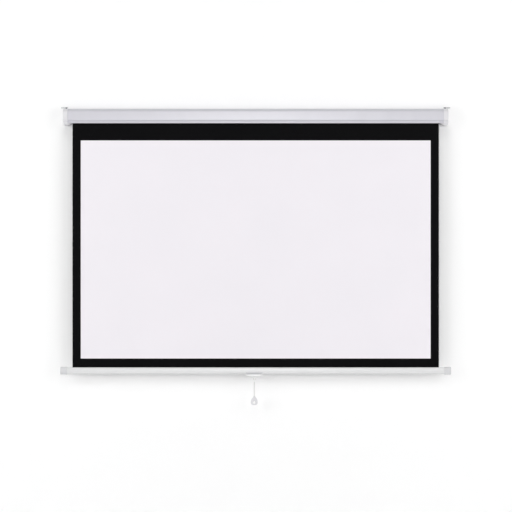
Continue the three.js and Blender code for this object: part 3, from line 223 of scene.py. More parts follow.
# Wall and floor. A plain white wall stands behind the screen and takes its soft shadow, and a
# pale floor lies 2.1 m below the casing. Both are seen from their front side only.
WALL_BEHIND = 0.0006
FLOOR_BELOW = -2.1
ROOM_HALF = 5.0
OWN_LIGHT = 0.05


def seen(tree):
    """1 on a ray that the camera sends out, straight, mirrored or through glass, and 0 on others:
    the highest of the three marks that the light path gives."""
    path = add_node(tree, "LightPath").outputs
    direct = add_node(tree, "Math", {0: path["Is Camera Ray"], 1: path["Is Glossy Ray"]},
                      operation="MAXIMUM")
    return add_node(tree, "Math", {0: direct.outputs[0], 1: path["Is Transmission Ray"]},
                    operation="MAXIMUM").outputs[0]


def stage_plane(name, low, high, colour):
    """A flat stage surface between two edges along X, each given by its Y and Z. Its shader is
    paint in front and clear behind, and what the camera sees of it is lifted by a little light of
    its own. It casts no shadow, so that the lamp behind it lights the object's back."""
    material = bpy.data.materials.new(name)
    material.use_nodes = True
    tree = material.node_tree
    tree.nodes.clear()
    paint = add_node(tree, "BsdfDiffuse", {"Color": linear(colour)})
    lift = add_node(tree, "Math", {0: seen(tree), 1: OWN_LIGHT}, operation="MULTIPLY")
    glow = add_node(tree, "Emission", {"Color": (1, 1, 1, 1), "Strength": lift.outputs[0]})
    front = add_node(tree, "AddShader", {0: paint.outputs[0], 1: glow.outputs[0]})
    side = add_node(tree, "NewGeometry")
    clear = add_node(tree, "BsdfTransparent")
    both = add_node(tree, "MixShader", {0: side.outputs["Backfacing"], 1: front.outputs[0],
                                        2: clear.outputs[0]})
    add_node(tree, "OutputMaterial", {"Surface": both.outputs[0]})
    mesh = bpy.data.meshes.new(name)
    corners = [(-ROOM_HALF, *low), (ROOM_HALF, *low), (ROOM_HALF, *high), (-ROOM_HALF, *high)]
    mesh.from_pydata(corners, [], [(0, 1, 2, 3)])
    mesh.materials.append(material)
    plane = put_in(name, mesh)
    plane.visible_shadow = False


corner_below = (WALL_BEHIND, FLOOR_BELOW)
stage_plane("white_wall", corner_below, (WALL_BEHIND, ROOM_HALF / 2), "#FCFCFC")
stage_plane("pale_floor", (-2 * ROOM_HALF, FLOOR_BELOW), corner_below, "#E2E2E2")

# Studio light. Two large soft lamps stand to the left and right, with two smaller ones above
# and below the camera, one above and one behind for the back. A dim even world fills in, and is
# plain white where the camera or a mirror sees it.
WORLD_LIGHT = 0.055
SCREEN_MIDDLE = (0, 0, -0.65)


def soft_lamp(name, spot, width, height, watts):
    """A rectangular area lamp at a spot, turned towards the screen's middle."""
    lamp = bpy.data.lights.new(name, "AREA")
    lamp.shape = "RECTANGLE"
    lamp.size, lamp.size_y = width, height
    lamp.energy = watts
    holder = put_in(name, lamp)
    holder.location = spot
    aim = np.array(SCREEN_MIDDLE) - np.array(spot)
    turn = math.atan2(-aim[0], aim[1])
    tilt = math.atan2(math.hypot(aim[0], aim[1]), -aim[2])
    holder.rotation_euler = (tilt, 0, turn)


soft_lamp("lamp_left", (-4.0, -3.6, 0.1), 3.4, 3.8, 105)
soft_lamp("lamp_right", (4.0, -3.6, 0.1), 3.4, 3.8, 105)
soft_lamp("lamp_front_high", (0, -8.4, 0.6), 1.4, 1.8, 68)
soft_lamp("lamp_front_low", (0, -8.4, -0.9), 1.4, 1.8, 38)
soft_lamp("lamp_above", (0, -5.0, 4.0), 3.6, 3.6, 94)
soft_lamp("lamp_behind", (0, 4.0, 1.6), 2.4, 2.4, 90)

world = bpy.data.worlds.new("even_light")
scene.world = world
world.use_nodes = True
tree = world.node_tree
level = add_node(tree, "MapRange", {"Value": seen(tree), "To Min": WORLD_LIGHT, "To Max": 1.0})
tree.nodes["Background"].inputs["Color"].default_value = (1, 1, 1, 1)
tree.links.new(level.outputs[0], tree.nodes["Background"].inputs["Strength"])
scene.view_settings.view_transform = "Standard"

# Casing. One hollow aluminium extrusion, 72 mm tall and 76 mm deep, powder coated white: a long
# chamfer along the top of its face, a groove and a lip below, an open slot under the roller, and
# three screw ports. Its ends are sawn square and the caps are screwed to them.
CASING_HALF = 924.0
CASING_WALL = 1.6
CASING_EDGE = 0.7
CAP_OUTLINE = [
    (-74, -36, 2), (-74, -31, CASING_EDGE), (-69, -28.9, CASING_EDGE), (-69, -27.3, CASING_EDGE),
    (-76, -19.2, CASING_EDGE), (-76, 22, CASING_EDGE), (-62, 36, CASING_EDGE),
    (0, 36, 4), (0, -36, 4),
]
SLOT_FRONT, SLOT_BACK = -70.5, -46.5
PORTS = np.array([(-5, 31), (-5, -31), (-65.464, 25.464)])
PORT_RADIUS = 4.0
PORT_BORE = 2.0
AXIS_Y = -40.0


def rounded(corners, steps=6, closed=True):
    """An outline through corners (a, b, radius), each turned by an arc that touches both its
    sides and is never longer than half the shorter one. An open outline keeps its two ends."""
    found = []
    for i, (a, b, radius) in enumerate(corners):
        corner = np.array([a, b], float)
        if not radius or (not closed and i in (0, len(corners) - 1)):
            found.append(corner[None])
            continue
        back = np.array(corners[i - 1][:2]) - corner
        on = np.array(corners[(i + 1) % len(corners)][:2]) - corner
        room = min(np.linalg.norm(back), np.linalg.norm(on)) / 2
        back, on = back / np.linalg.norm(back), on / np.linalg.norm(on)
        half = math.acos(np.clip(back @ on, -1, 1)) / 2
        tangent = min(radius / math.tan(half), room)
        both = (back + on) / np.linalg.norm(back + on)
        centre = corner + both * tangent / math.cos(half)
        start, end = corner + back * tangent - centre, corner + on * tangent - centre
        turn = math.atan2(start[0] * end[1] - start[1] * end[0], start @ end)
        angle = np.linspace(0, turn, steps + 1)[:, None]
        across = np.array([-start[1], start[0]])
        found.append(centre + start * np.cos(angle) + across * np.sin(angle))
    points = np.concatenate(found)
    apart = np.linalg.norm(points - np.roll(points, 1, 0), axis=1) > 0.001
    return points[apart]


def moved_in(path, distance, closed=True):
    """A path moved to its right-hand side: each point goes along the mean of the normals of its
    two sides, by the distance over the cosine of half the angle between them."""
    before = path - np.roll(path, 1, 0)
    after = np.roll(path, -1, 0) - path
    if not closed:
        before[0], after[-1] = after[0], before[-1]
    before /= np.linalg.norm(before, axis=1, keepdims=True)
    after /= np.linalg.norm(after, axis=1, keepdims=True)
    one = np.stack([before[:, 1], -before[:, 0]], -1)
    two = np.stack([after[:, 1], -after[:, 0]], -1)
    mean = (one + two) / np.linalg.norm(one + two, axis=1, keepdims=True)
    return path + mean * distance / (mean * one).sum(1, keepdims=True)


def out_and_back(one, other):
    """A closed section that runs out along one path and back along the other."""
    return np.concatenate([one, other[::-1]])


def carried(outline, low, high, ends=True):
    """A closed outline of Y and Z carried straight along X, from low to high."""
    return shell(np.stack([np.insert(outline, 0, x, axis=1) for x in (low, high)]), ends=ends)


def circle(radius, a, b, sides=32):
    """Points of a circle about (a, b): the cosine and the sine of equal steps of angle."""
    angle = np.linspace(0, 2 * np.pi, sides, endpoint=False)
    return np.stack([a + radius * np.cos(angle), b + radius * np.sin(angle)], -1)


def pipe(outer, inner, low, high, y, z):
    """A round pipe along X: four rings, out and back, whose last row meets the first."""
    rings = [(outer, low), (outer, high), (inner, high), (inner, low)]
    grid = [np.insert(circle(radius, y, z), 0, x, axis=1) for radius, x in rings]
    return shell(np.stack(grid), rows_round=True)


def powder_coat(name, dark, light):
    """Satin powder coat: thick even paint with a faint orange peel, its waves about 1.5 mm
    across, and a soft broad shine that drifts a little along the piece."""
    material, tree, shader = mottled(name, dark, light, 70 * MM, (0.25, 0.27))
    grain(tree, shader, 1.5 * MM, 0.25, 0.05 * MM, detail=1.0)
    return material


casing_coat = powder_coat("cool_white_powder_coat", "#CBCAD1", "#D1D0D7")
casing_path = rounded([(SLOT_FRONT, -36, 0), *CAP_OUTLINE, (SLOT_BACK, -36, 0.8),
                       (SLOT_BACK, -30, 0)], closed=False)
casing_section = out_and_back(casing_path, moved_in(casing_path, CASING_WALL, closed=False))
ports = [pipe(PORT_RADIUS, PORT_BORE, -CASING_HALF, CASING_HALF, y, z) for y, z in PORTS]
casing = make_piece("white_casing", [carried(casing_section, -CASING_HALF, CASING_HALF)] + ports,
                    casing_coat)
stand_in(casing, "root", "casing_shell")

# End caps. Hollow caps moulded in white ABS, which carry on the casing's outline for 22.5 mm.
# Each has a soft outer edge, three counterbored screw holes, two tongues that plug into the
# casing, and a rounded foot whose thin tongue reaches in under the casing.
CAP_INNER = 924.3
CAP_OUTER = 946.5
CAP_WALL = 3.0
CAP_FLOOR = CAP_OUTER - CAP_WALL
CAP_EDGE = 3.0
CAP_RIM_EDGE = 0.8
CAP_MIDDLE = (-38.0, 0.0)
CAP_HALVES = (38.0, 36.0)
SEAT_RADIUS = 3.3
SEAT_DEPTH = 2.2
BOSS_RADIUS = 4.6
PLATE_BOSS_RADIUS, PLATE_BOSS_LENGTH = 4.5, 4.0
PLATE_SCREW_Z = 19.0
INTO_WALL = 0.5
TONGUE_START, TONGUE_THICKNESS = 912.0, 2.0
TONGUES = [(-3.9, -17, 17), (-74.1, -12, 19)]
STAPLE_START, STAPLE_END, STAPLE_GAP = 930.5, 936.5, 0.3
STAPLE_HOLES = [(-41.5, -39.5), (-36.5, -34.5)]
HOLE_LOW, HOLE_HIGH = 31.5, 37.5
FOOT_TOP = -36.0
FOOT_FRONT, FOOT_BACK = -69.0, -11.0
FOOT_NOSE = 9.0
FOOT_OUTLINE = [
    (944.5, -33, 0), (944.5, -46.1, 9), (923.7, -46.1, 10), (909, -38.1, 0.5), (909, -36.3, 0),
    (924.3, -36.3, 0), (924.3, -33, 0),
]
SIDES = {"left": -1, "right": 1}


def mirrored(shells, side):
    """The right-hand shells, or their mirror image in X = 0 for the left."""
    return [(points * (side, 1, 1), faces) for points, faces in shells]


def slab(outline, low, high, edge, along=1, steps=5):
    """An outline carried along an axis, its two rims rounded by quarter circles: where the rim has
    risen by edge times an angle's sine, the outline is moved in by edge less edge times its
    cosine."""
    angle = np.linspace(0, np.pi / 2, steps)
    rise = np.concatenate([low + edge * (1 - np.sin(angle[::-1])),
                           high - edge * (1 - np.sin(angle))])
    inset = edge * (1 - np.cos(np.concatenate([angle[::-1], angle])))
    signed = np.roll(outline, -1, 0)
    right_hand = (outline[:, 0] * signed[:, 1] - outline[:, 1] * signed[:, 0]).sum() < 0
    points = np.zeros((len(rise), len(outline), 3))
    others = [k for k in range(3) if k != along]
    for row, (level, step) in enumerate(zip(rise, inset)):
        points[row][:, others] = moved_in(outline, step if right_hand else -step)
        points[row, :, along] = level
    return shell(points)


def cap_cup():
    """The cup: the outline scaled towards the cap's middle, ring by ring, from the inner floor
    out to the rim, over it, along the side and round the outer edge."""
    outline = rounded(CAP_OUTLINE, steps=8) - CAP_MIDDLE
    rings = [(CAP_FLOOR, CAP_WALL), (CAP_INNER, CAP_WALL), (CAP_INNER, CAP_RIM_EDGE),
             (CAP_INNER + CAP_RIM_EDGE, 0.0)]
    rings += [(CAP_OUTER - CAP_EDGE * (1 - math.sin(a)), CAP_EDGE * (1 - math.cos(a)))
              for a in np.linspace(0, np.pi / 2, 9)]
    grid = [np.insert(outline * (1 - inset / np.array(CAP_HALVES)) + CAP_MIDDLE, 0, x, axis=1)
            for x, inset in rings]
    return shell(np.stack(grid))


def cap_foot():
    """The foot's outline carried along Y. Near each end its drop below the casing shrinks as a
    quarter circle's height does, so that its nose curves under."""
    outline = rounded(FOOT_OUTLINE, steps=8)
    angle = np.linspace(0.1, np.pi / 2, 12)
    y = np.concatenate([FOOT_FRONT + FOOT_NOSE * (1 - np.cos(angle)),
                        FOOT_BACK - FOOT_NOSE * (1 - np.cos(angle[::-1]))])
    share = np.sin(np.concatenate([angle, angle[::-1]]))[:, None]
    grid = np.zeros((len(y), len(outline), 3))
    grid[..., 0] = outline[:, 0]
    grid[..., 1] = y[:, None]
    drop = np.minimum(outline[:, 1] - FOOT_TOP, 0)
    grid[..., 2] = np.maximum(outline[:, 1], FOOT_TOP) + drop * share
    return shell(grid)


def cut_out(piece, cutters):
    """Cuts closed shells out of a piece and leaves the result as its plain mesh."""
    tool = make_piece("cutter", cutters, None)
    carve = piece.modifiers.new("cut", "BOOLEAN")
    carve.operation = "DIFFERENCE"
    carve.solver = "EXACT"
    carve.object = tool
    cut = piece.evaluated_get(bpy.context.evaluated_depsgraph_get())
    done = bpy.data.meshes.new_from_object(cut)
    piece.modifiers.clear()
    piece.data = done
    bpy.data.objects.remove(tool)
    smooth(done)


def moulded_abs(name, dark, light):
    """Moulded ABS: a clean plastic with the fine even grain of a spark-eroded mould, about
    0.5 mm across, which keeps its shine low, and a tint that drifts slightly as it flowed."""
    material, tree, shader = mottled(name, dark, light, 25 * MM, 0.46)
    grain(tree, shader, 0.5 * MM, 0.3, 0.04 * MM)
    return material


cap_abs = moulded_abs("moulded_white_abs", "#DBDADD", "#E1E0E3")
cap_extras = [cap_foot()]
for y, low, high in TONGUES:
    tongue = rounded([(TONGUE_START, y, 0.8), (CAP_FLOOR, y, 0),
                      (CAP_FLOOR, y + TONGUE_THICKNESS, 0),
                      (TONGUE_START, y + TONGUE_THICKNESS, 0.8)])
    cap_extras.append(slab(tongue, low, high, 0.4, along=2))
for z in (PLATE_SCREW_Z, -PLATE_SCREW_Z):
    cap_extras.append(pipe(PLATE_BOSS_RADIUS, PORT_BORE, CAP_FLOOR - PLATE_BOSS_LENGTH,
                           CAP_FLOOR + INTO_WALL, AXIS_Y, z))
cap_extras += [pipe(BOSS_RADIUS, PORT_BORE, CAP_INNER, CAP_OUTER - SEAT_DEPTH - INTO_WALL, y, z)
               for y, z in PORTS]
cutters = [carried(circle(SEAT_RADIUS, y, z, 48), CAP_OUTER - SEAT_DEPTH, CAP_OUTER + 1)
           for y, z in PORTS]
for a, b in STAPLE_HOLES:
    hole = np.array([(a, HOLE_LOW), (b, HOLE_LOW), (b, HOLE_HIGH), (a, HOLE_HIGH)])
    cutters.append(carried(hole, STAPLE_START - STAPLE_GAP, STAPLE_END + STAPLE_GAP))
for name, side in SIDES.items():
    cup = make_piece(f"{name}_white_cap", mirrored([cap_cup()], side), cap_abs)
    cut_out(cup, mirrored(cutters, side))
    extras = make_piece(f"{name}_cap_fittings", mirrored(cap_extras, side), cap_abs)
    work = bmesh.new()
    work.from_mesh(cup.data)
    work.from_mesh(extras.data)
    work.to_mesh(cup.data)
    work.free()
    bpy.data.objects.remove(extras)
    stand_in(cup, "root", f"end_cap_{name}")

# Screws of the caps and of the bearing plates. Pan-headed screws of zinc-plated steel with a
# cross recess and a rolled thread of 1 mm pitch.
HEAD_RADIUS = 3.0
HEAD_RIM = 1.2
HEAD_DOME = 1.0
RECESS_REACH = 1.75
RECESS_HALF_WIDTH = 0.45
RECESS_DEPTH = 1.2
THREAD_RADIUS = 1.65
THREAD_DEPTH = 0.22
THREAD_PITCH = 1.0
TIP_LENGTH, TIP_SHARE = 2.0, 0.35
SCREW_COLUMNS = 48


def screw(length):
    """A screw about the X axis with its seat at X = 0 and its head on the +X side.

    The thread is a triangle wave of the height along the shank, less the share of a turn. The
    head's top is part of a sphere, sunk by the recess's depth within a cross."""
    turn = np.linspace(0, 2 * np.pi, SCREW_COLUMNS, endpoint=False)
    height = np.arange(-length, 0, THREAD_PITCH / 4)
    wave = np.abs((height[:, None] / THREAD_PITCH - turn / (2 * np.pi)) % 1 - 0.5) * 2
    taper = np.clip((height + length) / TIP_LENGTH, TIP_SHARE, 1)[:, None]
    shank = (THREAD_RADIUS - THREAD_DEPTH * wave) * taper
    dome = np.linspace(0.05, 1.56, 22)
    radii = HEAD_RADIUS * np.concatenate([[1, 1], np.cos(dome)])
    heads = np.concatenate([[0.0, HEAD_RIM], HEAD_RIM + HEAD_DOME * np.sin(dome)])
    a, b = np.abs(radii[:, None] * np.cos(turn)), np.abs(radii[:, None] * np.sin(turn))
    in_cross = (np.minimum(a, b) < RECESS_HALF_WIDTH) & (np.maximum(a, b) < RECESS_REACH)
    top = heads[:, None] - RECESS_DEPTH * in_cross
    along = np.concatenate([np.repeat(height[:, None], SCREW_COLUMNS, 1), top])
    out = np.concatenate([shank, np.repeat(radii[:, None], SCREW_COLUMNS, 1)])
    return shell(np.stack([along, out * np.cos(turn), out * np.sin(turn)], -1))


# Zinc plate: bright bluish grey metal, slightly patchy, with a fine dull grain.
zinc_steel, _, _ = mottled("zinc_plated_steel", "#919499", "#AEB1B5", 4 * MM, (0.28, 0.42),
                           metallic=1.0)

CAP_SCREW_SEAT = CAP_OUTER - 1.9
CAP_SCREW_LENGTH, PLATE_SCREW_LENGTH = 34.3, 6.8
PLATE_SCREW_SEAT = 937.4
cap_screw_points, screw_faces = screw(CAP_SCREW_LENGTH)
plate_screw_points, plate_screw_faces = screw(PLATE_SCREW_LENGTH)
for name, side in SIDES.items():
    for (y, z), port in zip(PORTS, ("upper_back", "lower_back", "front")):
        placed = (cap_screw_points + (CAP_SCREW_SEAT, y, z), screw_faces)
        cap_screw = make_piece(f"{name}_cap_{port}_screw", mirrored([placed], side), zinc_steel)
        stand_in(cap_screw, "root", f"cap_screw_{name}_{port}")
    for port, z in (("upper", PLATE_SCREW_Z), ("lower", -PLATE_SCREW_Z)):
        placed = plate_screw_points * (-1, 1, 1) + (PLATE_SCREW_SEAT, AXIS_Y, z)
        plate_screw = make_piece(f"{name}_plate_{port}_screw",
                                 mirrored([(placed, plate_screw_faces)], side), zinc_steel)
        stand_in(plate_screw, "root", f"plate_screw_{name}_{port}")

# Bearing plates, spindle, ratchet wheel, weight rod and pins. Plain stamped and turned parts of
# zinc-plated steel inside the caps, the roller and the bar. They keep their CAD shapes.


def finish_nodes(material, *names):
    """Puts a material on CAD nodes that keep their own shape."""
    for name in names:
        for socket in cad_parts[name].material_slots:
            socket.material = material


finish_nodes(zinc_steel, "bearing_plate_left", "bearing_plate_right", "spring_spindle",
             "ratchet_wheel", "idle_pin", "pawl_pin_upper", "pawl_pin_lower", "bar_weight_rod")

# Staples. A strip of galvanised steel, 6 mm wide, bent into an arch over the ring's hinge side,
# with its feet turned out under the cap's top wall.
STAPLE_PATH = [(-6.2, -3.3, 0), (-3.2, -3.3, 0.6), (-3.2, 9.7, 3.2), (3.2, 9.7, 3.2),
               (3.2, -3.3, 0.6), (6.2, -3.3, 0)]
STAPLE_THICKNESS, STAPLE_EDGE = 1.4, 0.2
RING_Y = -38.0
CASING_TOP = 36.0

# Galvanised wire: a dull dark grey skin of zinc, patchy where it has begun to weather.
galvanised_steel, _, _ = mottled("galvanised_steel", "#585B5F", "#75787C", 2.5 * MM, (0.38, 0.54),
                                 metallic=1.0, detail=3.0)

staple_path = rounded(STAPLE_PATH, steps=10, closed=False) + (RING_Y, CASING_TOP)
staple_section = out_and_back(staple_path, moved_in(staple_path, STAPLE_THICKNESS, closed=False))
for name, side in SIDES.items():
    strip = slab(staple_section, STAPLE_START, STAPLE_END, STAPLE_EDGE, along=0, steps=3)
    staple = make_piece(f"{name}_steel_staple", mirrored([strip], side), galvanised_steel)
    stand_in(staple, "root", f"ring_staple_{name}")

# Hanging rings. A closed loop of 3 mm galvanised wire on each cap, 35 mm wide, that lies back
# towards the wall and swings up to hang the screen from a hook.
RING_X = 943.0
RING_AXIS_Z = 42.5
RING_TILT = math.radians(86)
RING_WIRE = 1.5
RING_CORNERS = [(-16, 0, 3), (16, 0, 3), (16, 19, 8), (-16, 19, 8)]


def wire(path, outward, aside, radius, sides, rows_round=False):
    """A round wire along a path: each ring's points go out by the cosine of an angle along one
    direction and by its sine along another."""
    turn = np.linspace(0, 2 * np.pi, sides, endpoint=False)[None, :, None]
    ring = np.cos(turn) * outward[:, None] + np.sin(turn) * aside[:, None]
    return shell(path[:, None] + radius * ring, rows_round=rows_round)


def wire_loop(path, normal, radius):
    """A round wire along a closed flat path: each ring lies in the plane of the path's normal
    and of the direction square to both the normal and the path."""
    tangent = np.roll(path, -1, 0) - np.roll(path, 1, 0)
    tangent /= np.linalg.norm(tangent, axis=1, keepdims=True)
    aside = np.array(normal) + 0 * path
    return wire(path, np.cross(normal, tangent), aside, radius, 16, rows_round=True)


ring_outline = rounded(RING_CORNERS, steps=10)
for name, side in SIDES.items():
    back, up = math.sin(RING_TILT), math.cos(RING_TILT)
    path = np.stack([ring_outline[:, 0], ring_outline[:, 1] * back, ring_outline[:, 1] * up], -1)
    loop = wire_loop(path + (side * RING_X, RING_Y, RING_AXIS_Z), (0, -up, back), RING_WIRE)
    ring = make_piece(f"{name}_wire_ring", [loop], galvanised_steel, sharp=60)
    stand_in(ring, f"{name}_ring", f"hanging_ring_{name}")

# Torsion spring. It winds the screen up: oil-tempered wire, 2.2 mm thick, coiled round the
# spindle between the anchor and the roller's plug.
SPRING_START, SPRING_END = 600.9, 878.1
SPRING_RADIUS = 9.4
SPRING_WIRE = 1.1
SPRING_TURNS = 72


def helix(steps=24, sides=8):
    """A coiled wire about the roller's axis: rings square to a helix that rises evenly."""
    angle = np.linspace(0, 2 * np.pi * SPRING_TURNS, SPRING_TURNS * steps + 1)[:, None]
    rise = (SPRING_END - SPRING_START) / (2 * np.pi * SPRING_TURNS)
    out = np.concatenate([0 * angle, np.cos(angle), np.sin(angle)], 1)
    round_axis = np.concatenate([0 * angle, -np.sin(angle), np.cos(angle)], 1)
    along = (rise, 0, 0) + SPRING_RADIUS * round_axis
    aside = np.cross(along / np.linalg.norm(along, axis=1, keepdims=True), out)
    middle = SPRING_RADIUS * out + (SPRING_START, AXIS_Y, 0) + rise * angle * (1, 0, 0)
    return wire(middle, out, aside, SPRING_WIRE, sides)


# Oil-tempered steel: dark grey drawn wire with a thin film of oil.
spring_steel, _, _ = mottled("oil_tempered_steel", "#56585E", "#7E8084", 1.2 * MM, (0.28, 0.42),
                             metallic=1.0)
spring = make_piece("coiled_spring", [helix()], spring_steel, sharp=70)
stand_in(spring, "root", "torsion_spring")
finish_nodes(spring_steel, "ratchet_clip", "pawl_upper", "pawl_lower")

# Roller tube. A thin extruded aluminium tube, 42 mm across, left as it came from the die, with
# fine drawing lines along its length. It keeps its CAD shape.
mill_aluminium, _, _ = mottled("mill_finish_aluminium", "#B2B5B9", "#D2D4D7", 0.6 * MM, (0.3, 0.5),
                               metallic=1.0, detail=3.0, stretch=50)
finish_nodes(mill_aluminium, "roller_tube")

# Plugs, anchor, bush and splines. Parts moulded in natural nylon, a milky off-white plastic
# that lets a little light in. They keep their CAD shapes.
natural_nylon, _, shader = mottled("natural_nylon", "#DFD9CA", "#ECE8DC", 8 * MM, 0.5)
shader.inputs["Subsurface Weight"].default_value = 0.1
shader.inputs["Subsurface Radius"].default_value = (2 * MM, 1.7 * MM, 1.2 * MM)
finish_nodes(natural_nylon, "spring_end_plug", "idle_end_plug", "spring_anchor", "idle_bush",
             "roller_spline", "bar_spline")

# Screen fabric. One sheet of coated cloth, 1801 mm wide, that hangs from the roller into the
# bar. Its front is matt white with a printed black border all round, and its back is black.
# Its bottom border is a mesh of its own that stays with the bar as the screen goes up.
FABRIC_HALF = 900.5
FABRIC_BOTTOM = -1236.7
FABRIC_THICKNESS = 0.5
PICTURE_SIDE = 40.6
PICTURE_TOP = -120.1
PICTURE_BOTTOM = -1192.0
PICTURE_EDGES = [
    ("X", PICTURE_SIDE, 1), ("X", 2 * FABRIC_HALF - PICTURE_SIDE, -1),
    ("Y", -PICTURE_TOP, 1), ("Y", -PICTURE_BOTTOM, -1),
]
WAVE = 0.7
WAVE_ACROSS, WAVE_DOWN, WAVE_LEAN, WAVE_START = 210.0, 260.0, 750.0, 1.1
THREAD = 0.6
CLOTH_COLUMNS = 73


def cloth_slab(top, bottom, lines):
    """A length of the sheet as a closed slab: a front and a back grid, joined along their rims.

    Both are moved forward by a shallow wave: the product of two long sines across and down, less
    one, which dies out towards the sheet's top and bottom edge. So it never leans back into the
    roll. Returns the points, the faces and each face's part: 0 for the front, 1 for the rest."""
    across, down = np.meshgrid(np.linspace(-FABRIC_HALF, FABRIC_HALF, CLOTH_COLUMNS),
                               np.linspace(top, bottom, lines))
    share = down / FABRIC_BOTTOM
    wave = np.sin(across / WAVE_ACROSS + WAVE_START)
    wave = wave * np.sin(down / WAVE_DOWN + across / WAVE_LEAN) - 1
    wave *= WAVE * np.sin(np.pi * share)
    front = np.stack([across, FABRIC_Y - FABRIC_THICKNESS / 2 + wave, down], -1)
    back = front + (0, FABRIC_THICKNESS, 0)
    rows, columns = across.shape
    index = np.arange(rows * columns).reshape(rows, columns)
    quads = np.stack([index[:-1, :-1], index[1:, :-1], index[1:, 1:], index[:-1, 1:]], -1)
    quads = quads.reshape(-1, 4)
    rim = np.concatenate([index[0], index[1:, -1], index[-1, -2::-1], index[-2:0:-1, 0]])
    on = np.roll(rim, -1)
    edges = np.stack([rim, on, on + rows * columns, rim + rows * columns], -1)
    faces = np.concatenate([quads, quads[:, ::-1] + rows * columns, edges])
    parts = np.concatenate([np.zeros(len(quads), int), np.ones(len(quads) + len(edges), int)])
    return np.concatenate([front.reshape(-1, 3), back.reshape(-1, 3)]), faces, parts


def woven(name, roughness, shine):
    """A cloth whose threads show faintly: bump by the product of two sines of the place across
    and down the cloth, one wave to each pair of threads. Also returns that place, as a vector and
    by its axes."""
    material, tree, shader = start_material(name, "#101012", roughness)
    shader.inputs["Specular IOR Level"].default_value = shine
    place = add_node(tree, "UVMap", uv_map="cloth").outputs[0]
    axes = add_node(tree, "SeparateXYZ", {0: place}).outputs
    crests = []
    for axis in ("X", "Y"):
        turns = add_node(tree, "Math", {0: axes[axis], 1: np.pi / (THREAD * MM)},
                         operation="MULTIPLY")
        crests.append(add_node(tree, "Math", {0: turns.outputs[0]}, operation="SINE").outputs[0])
    rise = add_node(tree, "Math", {0: crests[0], 1: crests[1]}, operation="MULTIPLY")
    bump = add_node(tree, "Bump", {"Height": rise.outputs[0], "Strength": 0.3,
                                   "Distance": 0.03 * MM})
    tree.links.new(bump.outputs[0], shader.inputs["Normal"])
    return material, tree, shader, place, axes


# Coated front: a matt white picture area and a dense black printed border with a crisp edge.
# The cloth's threads are about 0.6 mm apart and show through faintly.
screen_front, tree, shader, place, axes = woven("coated_screen_cloth", 0.9, 0.08)
inside = None
for axis, limit, sign in PICTURE_EDGES:
    depth = add_node(tree, "Math", {0: axes[axis], 1: sign, 2: -sign * limit * MM},
                     operation="MULTIPLY_ADD").outputs[0]
    inside = depth if inside is None else add_node(tree, "Math", {0: inside, 1: depth},
                                                   operation="MINIMUM").outputs[0]
printed = add_node(tree, "MapRange", {"Value": inside, "From Min": -0.4 * MM,
                                      "From Max": 0.4 * MM})
cloudy = add_node(tree, "TexNoise", {"Vector": place, "Scale": 1 / (350 * MM), "Detail": 1.0})
white = add_node(tree, "Mix", {0: cloudy.outputs["Fac"], 6: linear("#F0EDF2"),
                               7: linear("#F4F0F5")}, data_type="RGBA")
black = add_node(tree, "Mix", {0: cloudy.outputs["Fac"], 6: linear("#050506"),
                               7: linear("#09090B")}, data_type="RGBA")
print_mix = add_node(tree, "Mix", {0: printed.outputs[0], 6: black.outputs[2],
                                   7: white.outputs[2]}, data_type="RGBA")
tree.links.new(print_mix.outputs[2], shader.inputs["Base Color"])

# Black back: the same cloth with a light-proof black coat, a little rougher.
black_cloth, tree, shader, place, _ = woven("black_backed_cloth", 0.85, 0.15)
lint = add_node(tree, "TexNoise", {"Vector": place, "Scale": 1 / (30 * MM)})
coat = add_node(tree, "Mix", {0: lint.outputs["Fac"], 6: linear("#0D0D0F"),
                              7: linear("#151517")}, data_type="RGBA")
tree.links.new(coat.outputs[2], shader.inputs["Base Color"])


def map_cloth(mesh, place):
    """Writes a mesh's UV map: the place in millimetres of each vertex on the sheet, in metres."""
    corner = np.zeros(len(mesh.loops), np.int32)
    mesh.loops.foreach_get("vertex_index", corner)
    uv = (place[corner] * MM).ravel()
    mesh.uv_layers.new(name="cloth").data.foreach_set("uv", uv)


def cloth_piece(name, body, top, bottom, lines):
    """A length of the sheet as an object, with its front and its back in two materials."""
    points, faces, parts = cloth_slab(top, bottom, lines)
    mesh = bpy.data.meshes.new(name)
    mesh.from_pydata((points * MM).tolist(), [], faces.tolist())
    mesh.materials.append(screen_front)
    mesh.materials.append(black_cloth)
    mesh.polygons.foreach_set("material_index", parts)
    map_cloth(mesh, np.stack([points[:, 0] + FABRIC_HALF, -points[:, 2]], -1))
    smooth(mesh)
    piece = put_in(name, mesh)
    stand_in(piece, body, "screen_fabric")
    return piece


screen_sheet = cloth_piece("hanging_screen", "root", 0, PICTURE_BOTTOM, 63)
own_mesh(screen_sheet)
border = cloth_piece("screen_bottom_border", "bar", PICTURE_BOTTOM, FABRIC_BOTTOM, 4)

# Turns of fabric left on the roller. The same sheet, three and a half turns of it, wound on
# tight with its black back outwards. It leaves the roll at the front.
ROLL_OUTER = 23.45
ROLL_MIDDLE = 22.0
ROLL_TURNS = 3.5
TURN_PITCH = 0.6
TURN_STEPS = 72
LAYER_HALF = 0.2


def wound_cloth():
    """A spiral about the roller's axis: the radius falls by one pitch for each turn. The section
    goes in along the outer face and back along the inner one, and is carried along X."""
    turn = np.linspace(0, ROLL_TURNS, int(ROLL_TURNS * TURN_STEPS) + 1)
    angle = np.pi - 2 * np.pi * turn
    radius = ROLL_OUTER - TURN_PITCH * turn
    out = np.stack([np.cos(angle), np.sin(angle)], -1)
    faces = [out * (radius + half)[:, None] for half in (LAYER_HALF, -LAYER_HALF)]
    section = out_and_back(*faces) + (AXIS_Y, 0)
    points, cells = carried(section, -FABRIC_HALF, FABRIC_HALF, ends=False)
    count, half = len(section), len(section) // 2
    inner = np.arange(half - 1)
    rim = np.stack([inner, inner + 1, count - 2 - inner, count - 1 - inner], -1)
    return points, cells + rim.tolist() + (rim + count).tolist()


